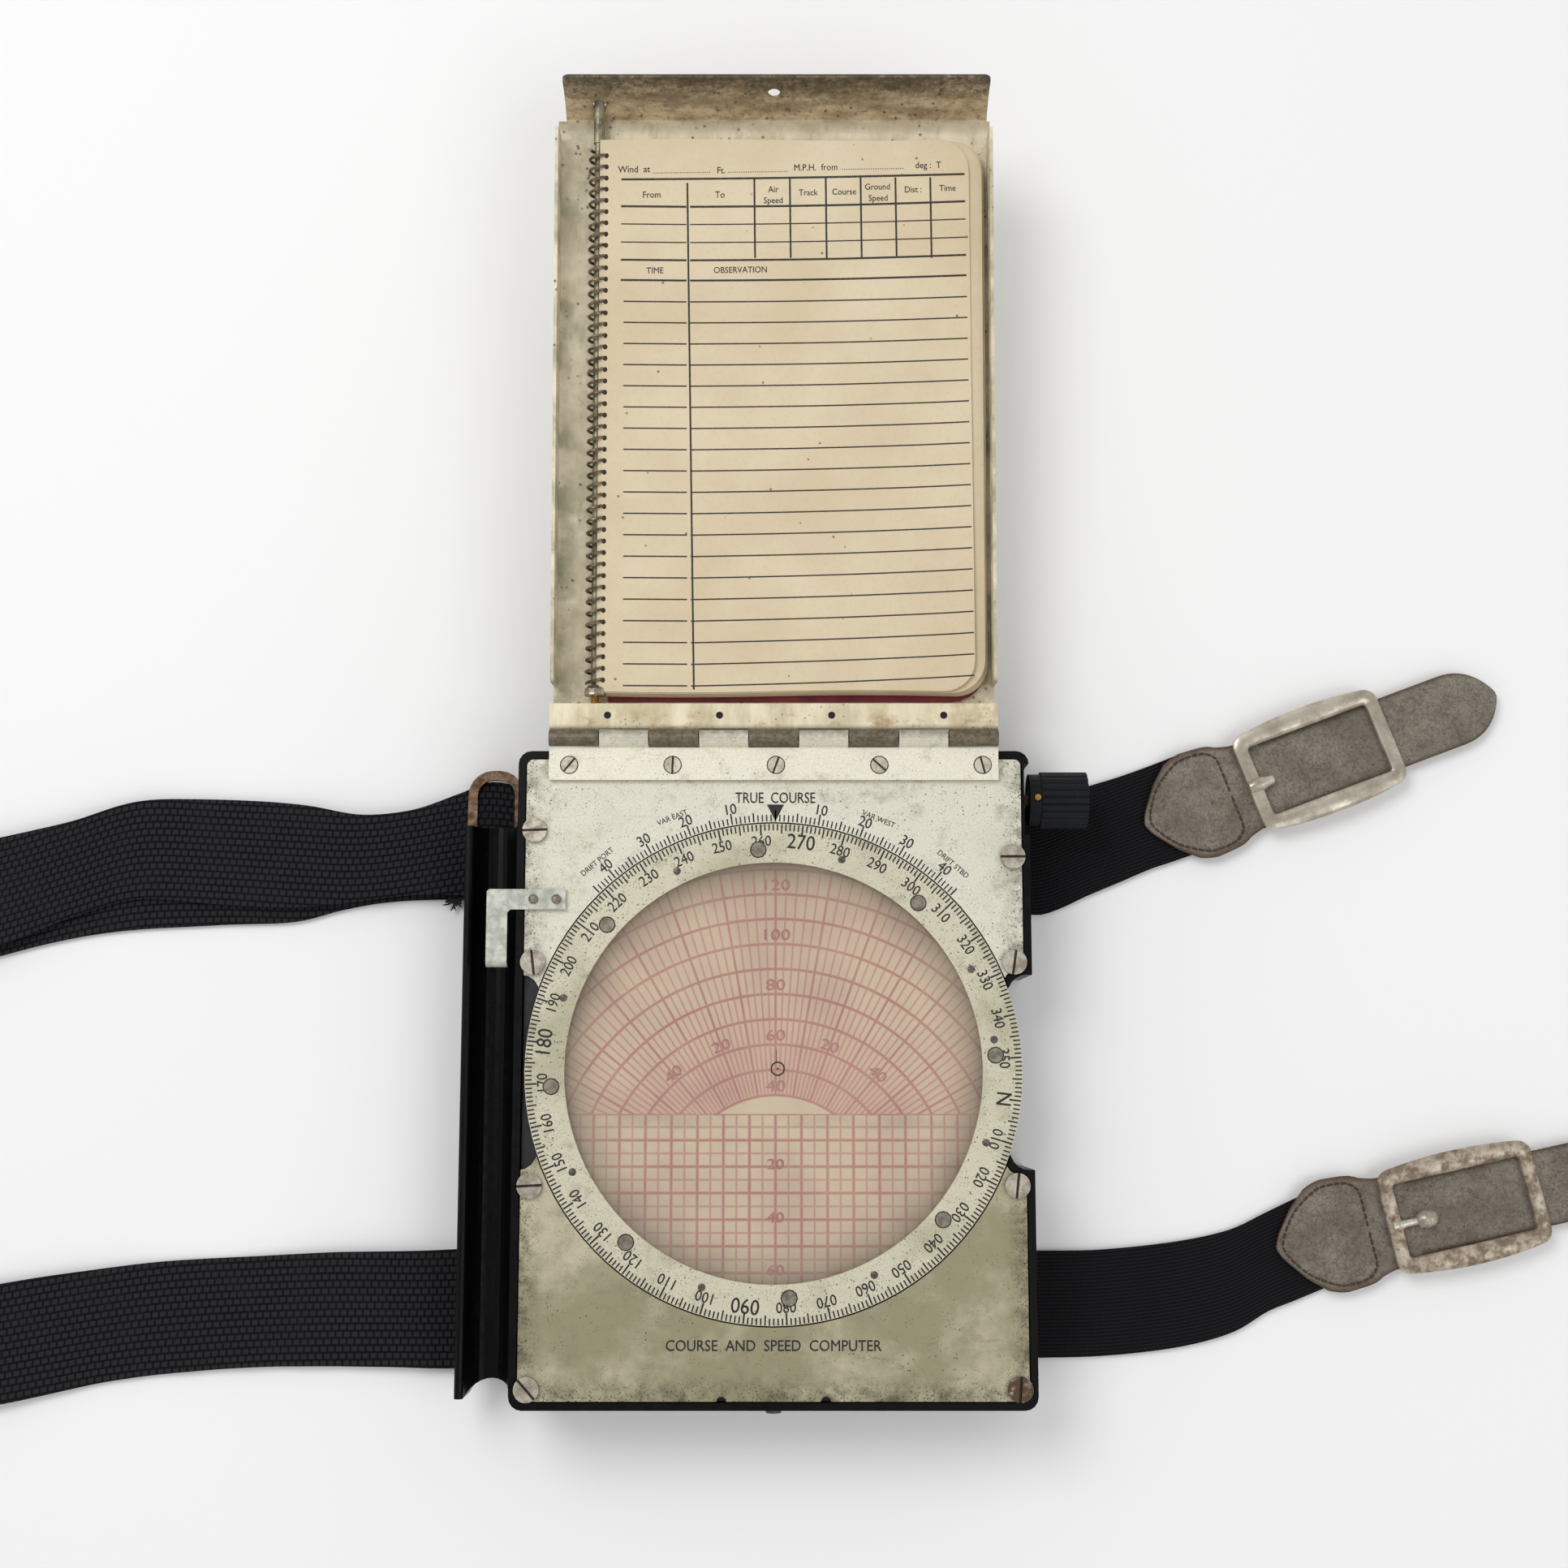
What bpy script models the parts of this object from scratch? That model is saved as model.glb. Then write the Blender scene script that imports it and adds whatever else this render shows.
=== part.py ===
"""Knee-strapped course and speed computer for a navigator, lying open on a table.

A moulded case holds a chart band on two rollers under a turning azimuth ring, and its
hinged lid holds a spiral note pad. The origin is the middle of the case's underside,
with +X to the right of the face, +Y towards the hinge and +Z up. Units are metres.
"""
import math

import bmesh
import bpy
from mathutils import Vector

MM = 0.001
GAP = 0.3 * MM

# Case moulding
CASE_X = 136.5 * MM
CASE_Y = 171.5 * MM
CASE_Z = 30.0 * MM
CORNER_R = 3.5 * MM
WALL = 1.95 * MM
FLOOR = 4.6 * MM
BOSS_TOP = 26.4 * MM
BOSS_R = 3.0 * MM

# Scoop in the right wall, where a finger reaches the edge of the ring
SCOOP_X = 61.8 * MM
SCOOP_HALF = 25.4 * MM
SCOOP_Y = 0.6 * MM
SCOOP_R = 5.0 * MM
SCOOP_SILL = 24.5 * MM

# Stack under the face, from the top down
PLATE_TOP = 29.7 * MM
PLATE_T = 1.2 * MM
PLATE_X = 66.0 * MM
PLATE_Y = 83.5 * MM
FRAME_TOP = 28.2 * MM
FRAME_T = 1.5 * MM
FRAME_HOLE_R = 61.8 * MM

# Azimuth ring and the frosted window under it
RING_Y = 0.84 * MM
RING_R = 65.4 * MM
WINDOW_R = 55.0 * MM
PLATE_HOLE_R = 65.8 * MM
DISC_R = 56.2 * MM
SPACER_IN = 58.0 * MM
SPACER_OUT = 61.4 * MM
FLANGE_IN = 56.0 * MM
FLANGE_OUT = 64.0 * MM
FLANGE_TOP = 26.3 * MM
FLANGE_T = 1.2 * MM
STUD_R = 1.95 * MM
STUD_RING_R = 58.5 * MM
STUD_COUNT = 8
STUD_FIRST = math.radians(94)

# Face screws: the head's middle from the case's middle
SCREW_X = 63.6 * MM
SCREWS_LEFT = (64.4 * MM, 29.3 * MM, -28.8 * MM, -80.4 * MM)
SCREWS_RIGHT = (57.3 * MM, 29.3 * MM, -28.8 * MM, -80.4 * MM)
SCREW_HEAD_R = 3.3 * MM
SCREW_HEAD_T = 1.0 * MM
SCREW_SHANK_R = 1.4 * MM
SLOT_W = 0.7 * MM
SLOT_DEPTH = 0.45 * MM

# Chart rollers, their side cheeks, and the band around them
ROLLER_Y = 74.2 * MM
ROLLER_Z = 16.0 * MM
ROLLER_R = 8.0 * MM
ROLLER_HALF = 56.8 * MM
SHAFT_R = 1.6 * MM
BAND_IN = 8.2 * MM
BAND_T = 0.3 * MM
BAND_HALF = 56.5 * MM
CHEEK_X = 57.2 * MM
CHEEK_T = 1.3 * MM
CHEEK_TOP = 24.7 * MM
BUSH_R = 3.3 * MM
KNOB_IN = 69.4 * MM
KNOB_OUT = 85.2 * MM
KNOB_R = 7.8 * MM
KNOB_FLUTES = 22

# Lid hinge
HINGE_Y = 89.0 * MM
HINGE_Z = 31.6 * MM
HINGE_HALF = 60.0 * MM
KNUCKLE_R = 2.2 * MM
KNUCKLES = 9
PIN_R = 0.75 * MM
BORE_R = 1.05 * MM
LEAF_Z = 30.3 * MM
LEAF_T = 1.0 * MM
LEAF_NEAR = 77.8 * MM
LEAF_SCREWS = 5
LEAF_SCREW_STEP = 27.6 * MM
LEAF_SCREW_Y = 81.8 * MM
LEAF_SCREW_SHIFT = 0.6 * MM

# Lid, measured along its length from the hinge axis; it rests 3 degrees short of flat
LID_OPEN = math.radians(3)
LID_HALF = 60.0 * MM
LID_T = 0.9 * MM
LID_BAR_NEAR = 2.6 * MM
LID_BAR_FAR = 9.4 * MM
LID_DEPTH = 9.6 * MM
FLANGE_NEAR = 15.2 * MM
FLANGE_FAR = 168.8 * MM
LIP_START = 174.3 * MM
LIP_X = (-57.8 * MM, 59.2 * MM)
LIP_CORNER = 2.2 * MM
LIP_R = 24.0 * MM
LIP_SLOPE = (math.radians(48), math.radians(86))
LIP_HOLE_R = 1.8 * MM
LIP_HOLE_UP = 7.2 * MM

# Note pad in the lid
PAD_NEAR = 10.8 * MM
PAD_FAR = 167.4 * MM
PAD_RIGHT = 58.0 * MM
PAD_LEFT = -45.0 * MM
COVER_T = 0.7 * MM
PAGES_T = 3.6 * MM
PAD_CORNER = 10.0 * MM
COIL_X = -48.4 * MM
COIL_R = 3.1 * MM
COIL_T = 0.8 * MM
ROD_R = 1.15 * MM
ROD_HEAD_R = 2.2 * MM

# Pencil trough beside the left wall
TROUGH_OUT = -83.5 * MM
TROUGH_IN = -68.55 * MM
TROUGH_TOP = 22.0 * MM
TROUGH_BOTTOM = 6.5 * MM
CHANNEL_X = -75.2 * MM
CHANNEL_R = 5.8 * MM
TROUGH_Y = (-84.0 * MM, 66.6 * MM)

# Knee straps
STRAP_Y = 62.0 * MM
STRAP_CHANNEL = 36.0 * MM
STRAP_CHANNEL_DEPTH = 2.6 * MM
STRAP_Z = 0.3 * MM
WEB_T = 1.4 * MM
WEB_W = 32.0 * MM
ELASTIC_T = 1.6 * MM
ELASTIC_W = 28.6 * MM
LEATHER_Z = 2.2 * MM
LEATHER_T = 1.8 * MM
BUCKLE_Z = 4.3 * MM
BUCKLE_T = 2.0 * MM


def clear_scene():
    """Start from an empty scene."""
    for item in list(bpy.data.objects):
        bpy.data.objects.remove(item, do_unlink=True)


def new_collection(name):
    """Make a collection in the scene."""
    group = bpy.data.collections.new(name)
    bpy.context.scene.collection.children.link(group)
    return group


def material(name, colour, roughness, metallic=0.0):
    """Make a Principled material."""
    made = bpy.data.materials.new(name)
    made.use_nodes = True
    shader = made.node_tree.nodes["Principled BSDF"]
    shader.inputs["Base Color"].default_value = (*colour, 1.0)
    shader.inputs["Roughness"].default_value = roughness
    shader.inputs["Metallic"].default_value = metallic
    return made


def move_to(item, group):
    """Link an object to one collection only."""
    for old in list(item.users_collection):
        old.objects.unlink(item)
    group.objects.link(item)


def finish(item, name, look, parent=None):
    """Name a sub-part, give it its material and put it in the parts collection."""
    item.name = name
    item.data.name = name
    item.data.materials.clear()
    item.data.materials.append(look)
    move_to(item, PARTS)
    if parent is not None:
        item.parent = parent
        item.matrix_parent_inverse.identity()
        item.location = item.location - Vector(parent["pivot_point"].to_list())
    return item


def pivot(name, place, tilt=0.0, parent=None):
    """Make an empty on a joint's axis; its children's places are given in case axes."""
    item = bpy.data.objects.new(name, None)
    item.location = place
    item.rotation_euler = (tilt, 0.0, 0.0)
    item["pivot_point"] = [0.0, 0.0, 0.0]
    PARTS.objects.link(item)
    if parent is not None:
        item.parent = parent
        item.location = Vector(place) - Vector(parent["pivot_point"].to_list())
    item["pivot_point"] = place
    return item


def apply_transform(item, rotation=False):
    """Apply an object's scale, and its rotation if asked."""
    bpy.ops.object.select_all(action="DESELECT")
    item.select_set(True)
    bpy.context.view_layer.objects.active = item
    bpy.ops.object.transform_apply(location=False, rotation=rotation, scale=True)


def box(x, y, z):
    """Box from its low and high limits along each axis."""
    middle = [(low + high) / 2 for low, high in (x, y, z)]
    bpy.ops.mesh.primitive_cube_add(size=1.0, location=middle)
    item = bpy.context.object
    item.scale = [high - low for low, high in (x, y, z)]
    apply_transform(item)
    return item


def rod(radius, start, end, sides=24):
    """Cylinder between two points."""
    start = Vector(start)
    end = Vector(end)
    along = end - start
    bpy.ops.mesh.primitive_cylinder_add(
        vertices=sides, radius=radius, depth=along.length, location=(start + end) / 2)
    item = bpy.context.object
    item.rotation_euler = along.to_track_quat("Z", "Y").to_euler()
    apply_transform(item, rotation=True)
    for face in item.data.polygons:
        face.use_smooth = len(face.vertices) == 4
    return item


def to_mesh(item):
    """Turn a curve or a modified object into a plain closed mesh in the same place."""
    bpy.context.view_layer.update()
    graph = bpy.context.evaluated_depsgraph_get()
    mesh = bpy.data.meshes.new_from_object(item.evaluated_get(graph))
    edit = bmesh.new()
    edit.from_mesh(mesh)
    bmesh.ops.remove_doubles(edit, verts=edit.verts, dist=1e-6)
    edit.to_mesh(mesh)
    edit.free()
    made = bpy.data.objects.new(item.name + "_mesh", mesh)
    made.matrix_world = item.matrix_world
    bpy.context.scene.collection.objects.link(made)
    bpy.data.objects.remove(item, do_unlink=True)
    return made


def slab(outlines, low, high, along="Z"):
    """Flat outline with any holes, as thick as low to high along Z, X or Y.

    Outline points are (x, y) for Z, (y, z) for X and (x, z) for Y.
    """
    curve = bpy.data.curves.new("outline", "CURVE")
    curve.dimensions = "2D"
    curve.fill_mode = "BOTH"
    curve.extrude = (high - low) / 2
    for outline in outlines:
        spline = curve.splines.new("POLY")
        spline.points.add(len(outline) - 1)
        for point, (across, up) in zip(spline.points, outline):
            point.co = (across, up, 0.0, 1.0)
        spline.use_cyclic_u = True
    item = bpy.data.objects.new("slab", curve)
    middle = (low + high) / 2
    if along == "Z":
        item.location = (0.0, 0.0, middle)
    elif along == "X":
        item.location = (middle, 0.0, 0.0)
        item.rotation_euler = (math.pi / 2, 0.0, math.pi / 2)
    else:
        item.location = (0.0, middle, 0.0)
        item.rotation_euler = (math.pi / 2, 0.0, 0.0)
    bpy.context.scene.collection.objects.link(item)
    made = to_mesh(item)
    apply_transform(made, rotation=True)
    return made


def turned(profile, centre, steps=48, along="Z"):
    """Profile of (radius, height) points from top to bottom, turned about an axis."""
    mesh = bpy.data.meshes.new("profile")
    points = [(radius, 0.0, height) for radius, height in profile]
    mesh.from_pydata(points, [(i, i + 1) for i in range(len(points) - 1)], [])
    item = bpy.data.objects.new("turned", mesh)
    item.location = centre
    bpy.context.scene.collection.objects.link(item)
    screw = item.modifiers.new("turn", "SCREW")
    screw.steps = steps
    screw.render_steps = steps
    screw.use_merge_vertices = True
    screw.merge_threshold = 0.00001
    made = to_mesh(item)
    if along == "X":
        made.rotation_euler = (0.0, math.pi / 2, 0.0)
        apply_transform(made, rotation=True)
    return made


def combine(item, operation, others):
    """Cut other shapes from an object, or join them to it."""
    for other in others:
        move_to(other, CUTTERS)
        other.hide_render = True
        other.display_type = "WIRE"
        step = item.modifiers.new("combine", "BOOLEAN")
        step.operation = operation
        step.solver = "EXACT"
        step.object = other
    return to_mesh(item)


def cut(item, *others):
    """Cut other shapes from an object."""
    return combine(item, "DIFFERENCE", others)


def join(item, *others):
    """Join other shapes to an object."""
    return combine(item, "UNION", others)


def arc(cx, cy, radius, start, end, steps):
    """Points along an arc, with both ends, angles in degrees."""
    points = []
    for i in range(steps + 1):
        angle = math.radians(start + (end - start) * i / steps)
        points.append((cx + radius * math.cos(angle), cy + radius * math.sin(angle)))
    return points


def round_box(x0, x1, y0, y1, radius, steps=4):
    """Outline of a rectangle with round corners."""
    points = arc(x1 - radius, y1 - radius, radius, 0, 90, steps)
    points += arc(x0 + radius, y1 - radius, radius, 90, 180, steps)
    points += arc(x0 + radius, y0 + radius, radius, 180, 270, steps)
    points += arc(x1 - radius, y0 + radius, radius, 270, 360, steps)
    return points


def smooth_line(points, steps=4):
    """Points along a smooth curve through hand-placed points."""
    line = []
    last = len(points) - 1
    for i in range(last):
        before = Vector(points[max(i - 1, 0)])
        start = Vector(points[i])
        end = Vector(points[i + 1])
        after = Vector(points[min(i + 2, last)])
        for k in range(steps):
            t = k / steps
            line.append(0.5 * (2 * start + (end - before) * t
                               + (2 * before - 5 * start + 4 * end - after) * t * t
                               + (3 * start - before - 3 * end + after) * t ** 3))
    line.append(Vector(points[last]))
    return line


def ribbon(points, width):
    """Outline of a strap lying flat along a smooth centre line, given in millimetres."""
    line = smooth_line([(x * MM, y * MM) for x, y in points])
    left = []
    right = []
    for i, point in enumerate(line):
        ahead = line[min(i + 1, len(line) - 1)] - line[max(i - 1, 0)]
        side = Vector((-ahead.y, ahead.x)).normalized() * width / 2
        left.append(tuple(point + side))
        right.append(tuple(point - side))
    return left + right[::-1]


def case_outline(inset):
    """Case outline seen from above, with the finger scoop in the right side."""
    half_x = CASE_X / 2 - inset
    half_y = CASE_Y / 2 - inset
    corner = CORNER_R - inset * 0.6
    scoop_x = SCOOP_X - inset
    low = SCOOP_Y - SCOOP_HALF - inset
    high = SCOOP_Y + SCOOP_HALF + inset
    bend = SCOOP_R + inset
    points = arc(half_x - corner, half_y - corner, corner, 0, 90, 4)
    points += arc(-half_x + corner, half_y - corner, corner, 90, 180, 4)
    points += arc(-half_x + corner, -half_y + corner, corner, 180, 270, 4)
    points += arc(half_x - corner, -half_y + corner, corner, 270, 360, 4)
    points.append((half_x, low))
    points += arc(scoop_x + bend, low + bend, bend, 270, 180, 5)
    points += arc(scoop_x + bend, high - bend, bend, 180, 90, 5)
    points.append((half_x, high))
    return points


def face_screw_places():
    """Name and place of each face screw."""
    places = []
    for side, across, heights in (("left", -SCREW_X, SCREWS_LEFT), ("right", SCREW_X, SCREWS_RIGHT)):
        for number, up in enumerate(heights, start=1):
            places.append((f"face_screw_{side}_{number}", across, up))
    return places


def leaf_screw_places():
    """Place across the case of each hinge screw."""
    half = (LEAF_SCREWS - 1) / 2
    return [(i - half) * LEAF_SCREW_STEP + LEAF_SCREW_SHIFT for i in range(LEAF_SCREWS)]


def screw_holes(radius, low, high):
    """Cutters for the face screws' shanks."""
    return [rod(radius, (x, y, low), (x, y, high), 12) for _, x, y in face_screw_places()]


def leaf_holes(radius, low, high, sides=12):
    """Cutters for the hinge screws."""
    return [rod(radius, (x, LEAF_SCREW_Y, low), (x, LEAF_SCREW_Y, high), sides)
            for x in leaf_screw_places()]


def make_case():
    """Moulded case: walls, floor, screw bosses, knob recess, strap channels."""
    shell = slab([case_outline(0.0)], 0.0, CASE_Z)
    cavity = slab([case_outline(WALL)], FLOOR, CASE_Z + 1 * MM)
    sill = box((55 * MM, 70 * MM), (SCOOP_Y - 20.4 * MM, SCOOP_Y + 20.4 * MM),
               (SCOOP_SILL, CASE_Z + 1 * MM))
    ring_room = rod(PLATE_HOLE_R, (0, RING_Y, FRAME_TOP), (0, RING_Y, CASE_Z + 1 * MM), 96)
    flange_room = rod(FLANGE_OUT + GAP, (0, RING_Y, FLANGE_TOP - FLANGE_T - GAP),
                      (0, RING_Y, CASE_Z + 1 * MM), 96)
    shell = cut(shell, cavity, sill, ring_room, flange_room)
    bosses = [rod(BOSS_R, (x, y, FLOOR - 1 * MM), (x, y, BOSS_TOP), 16)
              for _, x, y in face_screw_places()]
    shell = join(shell, *bosses)
    channels = [box((-CASE_X, CASE_X),
                    (side * STRAP_Y - STRAP_CHANNEL / 2, side * STRAP_Y + STRAP_CHANNEL / 2),
                    (-1 * MM, STRAP_CHANNEL_DEPTH)) for side in (-1, 1)]
    heads = [rod(SCREW_HEAD_R + GAP, (x, y, FRAME_TOP), (x, y, CASE_Z + 1 * MM), 24)
             for _, x, y in face_screw_places()]
    recess = box((66.9 * MM, 70 * MM), (ROLLER_Y - 11 * MM, ROLLER_Y + 8.2 * MM),
                 (6 * MM, CASE_Z + 1 * MM))
    bore = rod(SHAFT_R + GAP, (60 * MM, ROLLER_Y, ROLLER_Z), (72 * MM, ROLLER_Y, ROLLER_Z), 16)
    holes = screw_holes(SCREW_SHANK_R + GAP, 14 * MM, CASE_Z)
    shell = cut(shell, *channels, *heads, recess, bore, *holes)
    finish(shell, "case_moulding", BAKELITE)


def make_bearing_frame():
    """Black sub-plate that carries the turning ring."""
    outline = round_box(-PLATE_X, PLATE_X, -PLATE_Y, PLATE_Y, 2 * MM)
    frame = slab([outline, arc(0.0, RING_Y, FRAME_HOLE_R, 0, 352.5, 47)],
                 FRAME_TOP - FRAME_T, FRAME_TOP)
    scoop_edge = SCOOP_X - WALL - GAP
    scoop = slab([round_box(scoop_edge, 80 * MM, SCOOP_Y - SCOOP_HALF - WALL - GAP,
                            SCOOP_Y + SCOOP_HALF + WALL + GAP, SCOOP_R)],
                 FRAME_TOP - 2 * FRAME_T, FRAME_TOP + FRAME_T)
    frame = cut(frame, scoop, *screw_holes(SCREW_SHANK_R + GAP, 20 * MM, 32 * MM),
                *leaf_holes(1.4 * MM, 20 * MM, 32 * MM))
    finish(frame, "bearing_frame", BLACK_PAINT)


def make_face_plates():
    """Two engraved face plates either side of the ring."""
    low = PLATE_TOP - PLATE_T
    for name, near, far in (("face_plate_upper", 8 * MM, PLATE_Y),
                            ("face_plate_lower", -PLATE_Y, -8 * MM)):
        plate = slab([round_box(-PLATE_X, PLATE_X, near, far, 1.6 * MM)], low, PLATE_TOP)
        ring = rod(PLATE_HOLE_R, (0, RING_Y, 20 * MM), (0, RING_Y, 40 * MM), 96)
        notches = []
        for side, inset in ((-1, 0.1 * MM), (1, WALL + GAP)):
            x = sorted((side * (SCOOP_X - inset), side * 80 * MM))
            notch = round_box(*x, SCOOP_Y - SCOOP_HALF - inset, SCOOP_Y + SCOOP_HALF + inset,
                              SCOOP_R + inset)
            notches.append(slab([notch], 20 * MM, 40 * MM))
        plate = cut(plate, ring, *notches)
        holes = screw_holes(SCREW_SHANK_R + GAP, 20 * MM, 40 * MM)
        if near > 0:
            holes += leaf_holes(1.4 * MM, 20 * MM, 40 * MM)
        else:
            holes += [rod(1.3 * MM, (x, -PLATE_Y, 20 * MM), (x, -PLATE_Y, 40 * MM), 12)
                      for x in (-13.4 * MM, 13.6 * MM)]
        plate = cut(plate, *holes)
        finish(plate, name, FACE_METAL)


def slotted_screw(name, place, head_r, head_t, shank_r, shank_len, turn, look, slot_w, slot_depth):
    """Screw with a slotted head whose top face is at the given place."""
    x, y, top = place
    head = rod(head_r, (x, y, top - head_t), (x, y, top), 24)
    shank = rod(shank_r, (x, y, top - head_t - shank_len), (x, y, top - head_t / 2), 12)
    screw = join(head, shank)
    slot = box((-head_r * 1.2, head_r * 1.2), (-slot_w / 2, slot_w / 2),
               (-slot_depth, slot_depth))
    slot.location = (x, y, top)
    slot.rotation_euler = (0.0, 0.0, math.radians(turn))
    screw = cut(screw, slot)
    finish(screw, name, look)


def make_face_screws():
    """Eight big screws that hold the face plates."""
    turns = (2, 97, 3, -48, 0, 82, 84, 86)
    for (name, x, y), turn in zip(face_screw_places(), turns):
        slotted_screw(name, (x, y, PLATE_TOP + GAP + SCREW_HEAD_T), SCREW_HEAD_R, SCREW_HEAD_T,
                      SCREW_SHANK_R, 9 * MM, turn, SCREW_METAL, SLOT_W, SLOT_DEPTH)


def make_ring():
    """Azimuth ring, its window and its retainer, which turn together."""
    about = ROSE
    ring = turned([(WINDOW_R, 0.0), (WINDOW_R, PLATE_T), (RING_R, PLATE_T),
                   (RING_R, 0.0), (WINDOW_R, 0.0)],
                  (0, RING_Y, PLATE_TOP - PLATE_T), 96)
    holes = []
    studs = []
    for i in range(STUD_COUNT):
        angle = STUD_FIRST + i * math.tau / STUD_COUNT
        x = STUD_RING_R * math.cos(angle)
        y = RING_Y + STUD_RING_R * math.sin(angle)
        holes.append(rod(STUD_R + GAP, (x, y, 20 * MM), (x, y, 40 * MM), 12))
        studs.append(rod(STUD_R, (x, y, FLANGE_TOP), (x, y, PLATE_TOP + 0.25 * MM), 12))
    finish(cut(ring, *holes), "azimuth_ring", FACE_METAL, about)
    disc = turned([(0.0, PLATE_T + GAP), (DISC_R, PLATE_T + GAP), (DISC_R, 0.0), (0.0, 0.0)],
                  (0, RING_Y, FRAME_TOP - FRAME_T), 64)
    finish(disc, "window_disc", FROSTED, about)
    low = FLANGE_TOP - FLANGE_T
    retainer = turned([(SPACER_IN, FRAME_TOP - low), (SPACER_OUT, FRAME_TOP - low),
                       (SPACER_OUT, FLANGE_T), (FLANGE_OUT, FLANGE_T), (FLANGE_OUT, 0.0),
                       (FLANGE_IN, 0.0), (FLANGE_IN, FLANGE_T), (SPACER_IN, FLANGE_T),
                       (SPACER_IN, FRAME_TOP - low)], (0, RING_Y, low), 64)
    finish(join(retainer, *studs), "ring_retainer", DARK_METAL, about)


def make_rollers():
    """Chart rollers in their side cheeks, the band around them and the plate inside it."""
    end = CHEEK_X + CHEEK_T + 1.2 * MM
    for name, side, right, about in (("upper_roller", 1, KNOB_OUT - 2 * MM, UPPER),
                                     ("lower_roller", -1, end, LOWER)):
        profile = [(0.0, right), (SHAFT_R, right), (SHAFT_R, ROLLER_HALF), (ROLLER_R, ROLLER_HALF),
                   (ROLLER_R, -ROLLER_HALF), (SHAFT_R, -ROLLER_HALF), (SHAFT_R, -end), (0.0, -end)]
        roller = turned(profile, (0, side * ROLLER_Y, ROLLER_Z), 24, "X")
        finish(roller, name, ROLLER_WOOD, about)
    for side_name, side in (("left", -1), ("right", 1)):
        x = sorted((side * CHEEK_X, side * (CHEEK_X + CHEEK_T)))
        outline = round_box(-82.5 * MM, 82.5 * MM, FLOOR + GAP, CHEEK_TOP, 2 * MM, 2)
        bores = [arc(place * ROLLER_Y, ROLLER_Z, BUSH_R + GAP, 0, 337.5, 15) for place in (-1, 1)]
        cheek = slab([outline, *bores], x[0], x[1], "X")
        finish(cheek, f"roller_cheek_{side_name}", CHEEK_METAL)
        for place_name, place in (("upper", 1), ("lower", -1)):
            bush = slab([arc(place * ROLLER_Y, ROLLER_Z, BUSH_R, 0, 337.5, 15),
                         arc(place * ROLLER_Y, ROLLER_Z, SHAFT_R + GAP, 0, 337.5, 15)],
                        x[0], x[1], "X")
            finish(bush, f"{place_name}_bush_{side_name}", BRASS)
    platen = box((-CHEEK_X + GAP, CHEEK_X - GAP), (-64 * MM, 64 * MM),
                 (ROLLER_Z + 6.6 * MM, ROLLER_Z + 7.9 * MM))
    finish(platen, "platen", CHEEK_METAL)
    loops = []
    for radius in (BAND_IN + BAND_T, BAND_IN):
        loops.append(arc(ROLLER_Y, ROLLER_Z, radius, -90, 90, 12)
                     + arc(-ROLLER_Y, ROLLER_Z, radius, 90, 270, 12))
    finish(slab(loops, -BAND_HALF, BAND_HALF, "X"), "chart_band", CHART)


def make_knob():
    """Fluted knob on the upper roller's shaft, with its cross pin."""
    rim = []
    for i in range(KNOB_FLUTES * 4):
        angle = math.tau * i / (KNOB_FLUTES * 4)
        radius = KNOB_R - (0.0, 0.1, 0.55, 0.1)[i % 4] * MM
        rim.append((ROLLER_Y + radius * math.cos(angle), ROLLER_Z + radius * math.sin(angle)))
    bore = arc(ROLLER_Y, ROLLER_Z, SHAFT_R + GAP, 0, 337.5, 15)
    grip = slab([rim, bore], KNOB_IN + 3.2 * MM, KNOB_OUT, "X")
    hub = slab([arc(ROLLER_Y, ROLLER_Z, 7.2 * MM, 0, 345, 23), bore],
               KNOB_IN, KNOB_IN + 4 * MM, "X")
    knob = join(grip, hub)
    pin_x = KNOB_IN + 2.0 * MM
    hole = rod(1.2 * MM, (pin_x, ROLLER_Y, ROLLER_Z), (pin_x, ROLLER_Y, ROLLER_Z + 12 * MM), 12)
    finish(cut(knob, hole), "chart_knob", BAKELITE, UPPER)
    pin = rod(0.9 * MM, (pin_x, ROLLER_Y, ROLLER_Z + SHAFT_R + GAP),
              (pin_x, ROLLER_Y, ROLLER_Z + 7.3 * MM), 12)
    finish(pin, "knob_pin", BRASS, UPPER)


def hinge_leaf(name, near, far, first, look, about, holes):
    """Hinge leaf with every second knuckle, starting at knuckle number first."""
    pitch = 2 * HINGE_HALF / KNUCKLES
    leaf = box((-HINGE_HALF, HINGE_HALF), (near, far), (LEAF_Z, LEAF_Z + LEAF_T))
    knuckles = []
    for i in range(first, KNUCKLES, 2):
        low = -HINGE_HALF + i * pitch + (GAP / 2 if i else 0.0)
        high = -HINGE_HALF + (i + 1) * pitch - (GAP / 2 if i < KNUCKLES - 1 else 0.0)
        knuckles.append(rod(KNUCKLE_R, (low, HINGE_Y, HINGE_Z), (high, HINGE_Y, HINGE_Z), 16))
        reach = sorted((HINGE_Y, near if near > HINGE_Y else far))
        bridge = (reach[0] - 1 * MM, reach[1]) if near < HINGE_Y else (reach[0], reach[1] + 1 * MM)
        knuckles.append(box((low, high), bridge, (LEAF_Z, LEAF_Z + LEAF_T)))
    leaf = join(leaf, *knuckles)
    bore = rod(BORE_R, (-70 * MM, HINGE_Y, HINGE_Z), (70 * MM, HINGE_Y, HINGE_Z), 12)
    finish(cut(leaf, bore, *holes), name, look, about)


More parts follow.
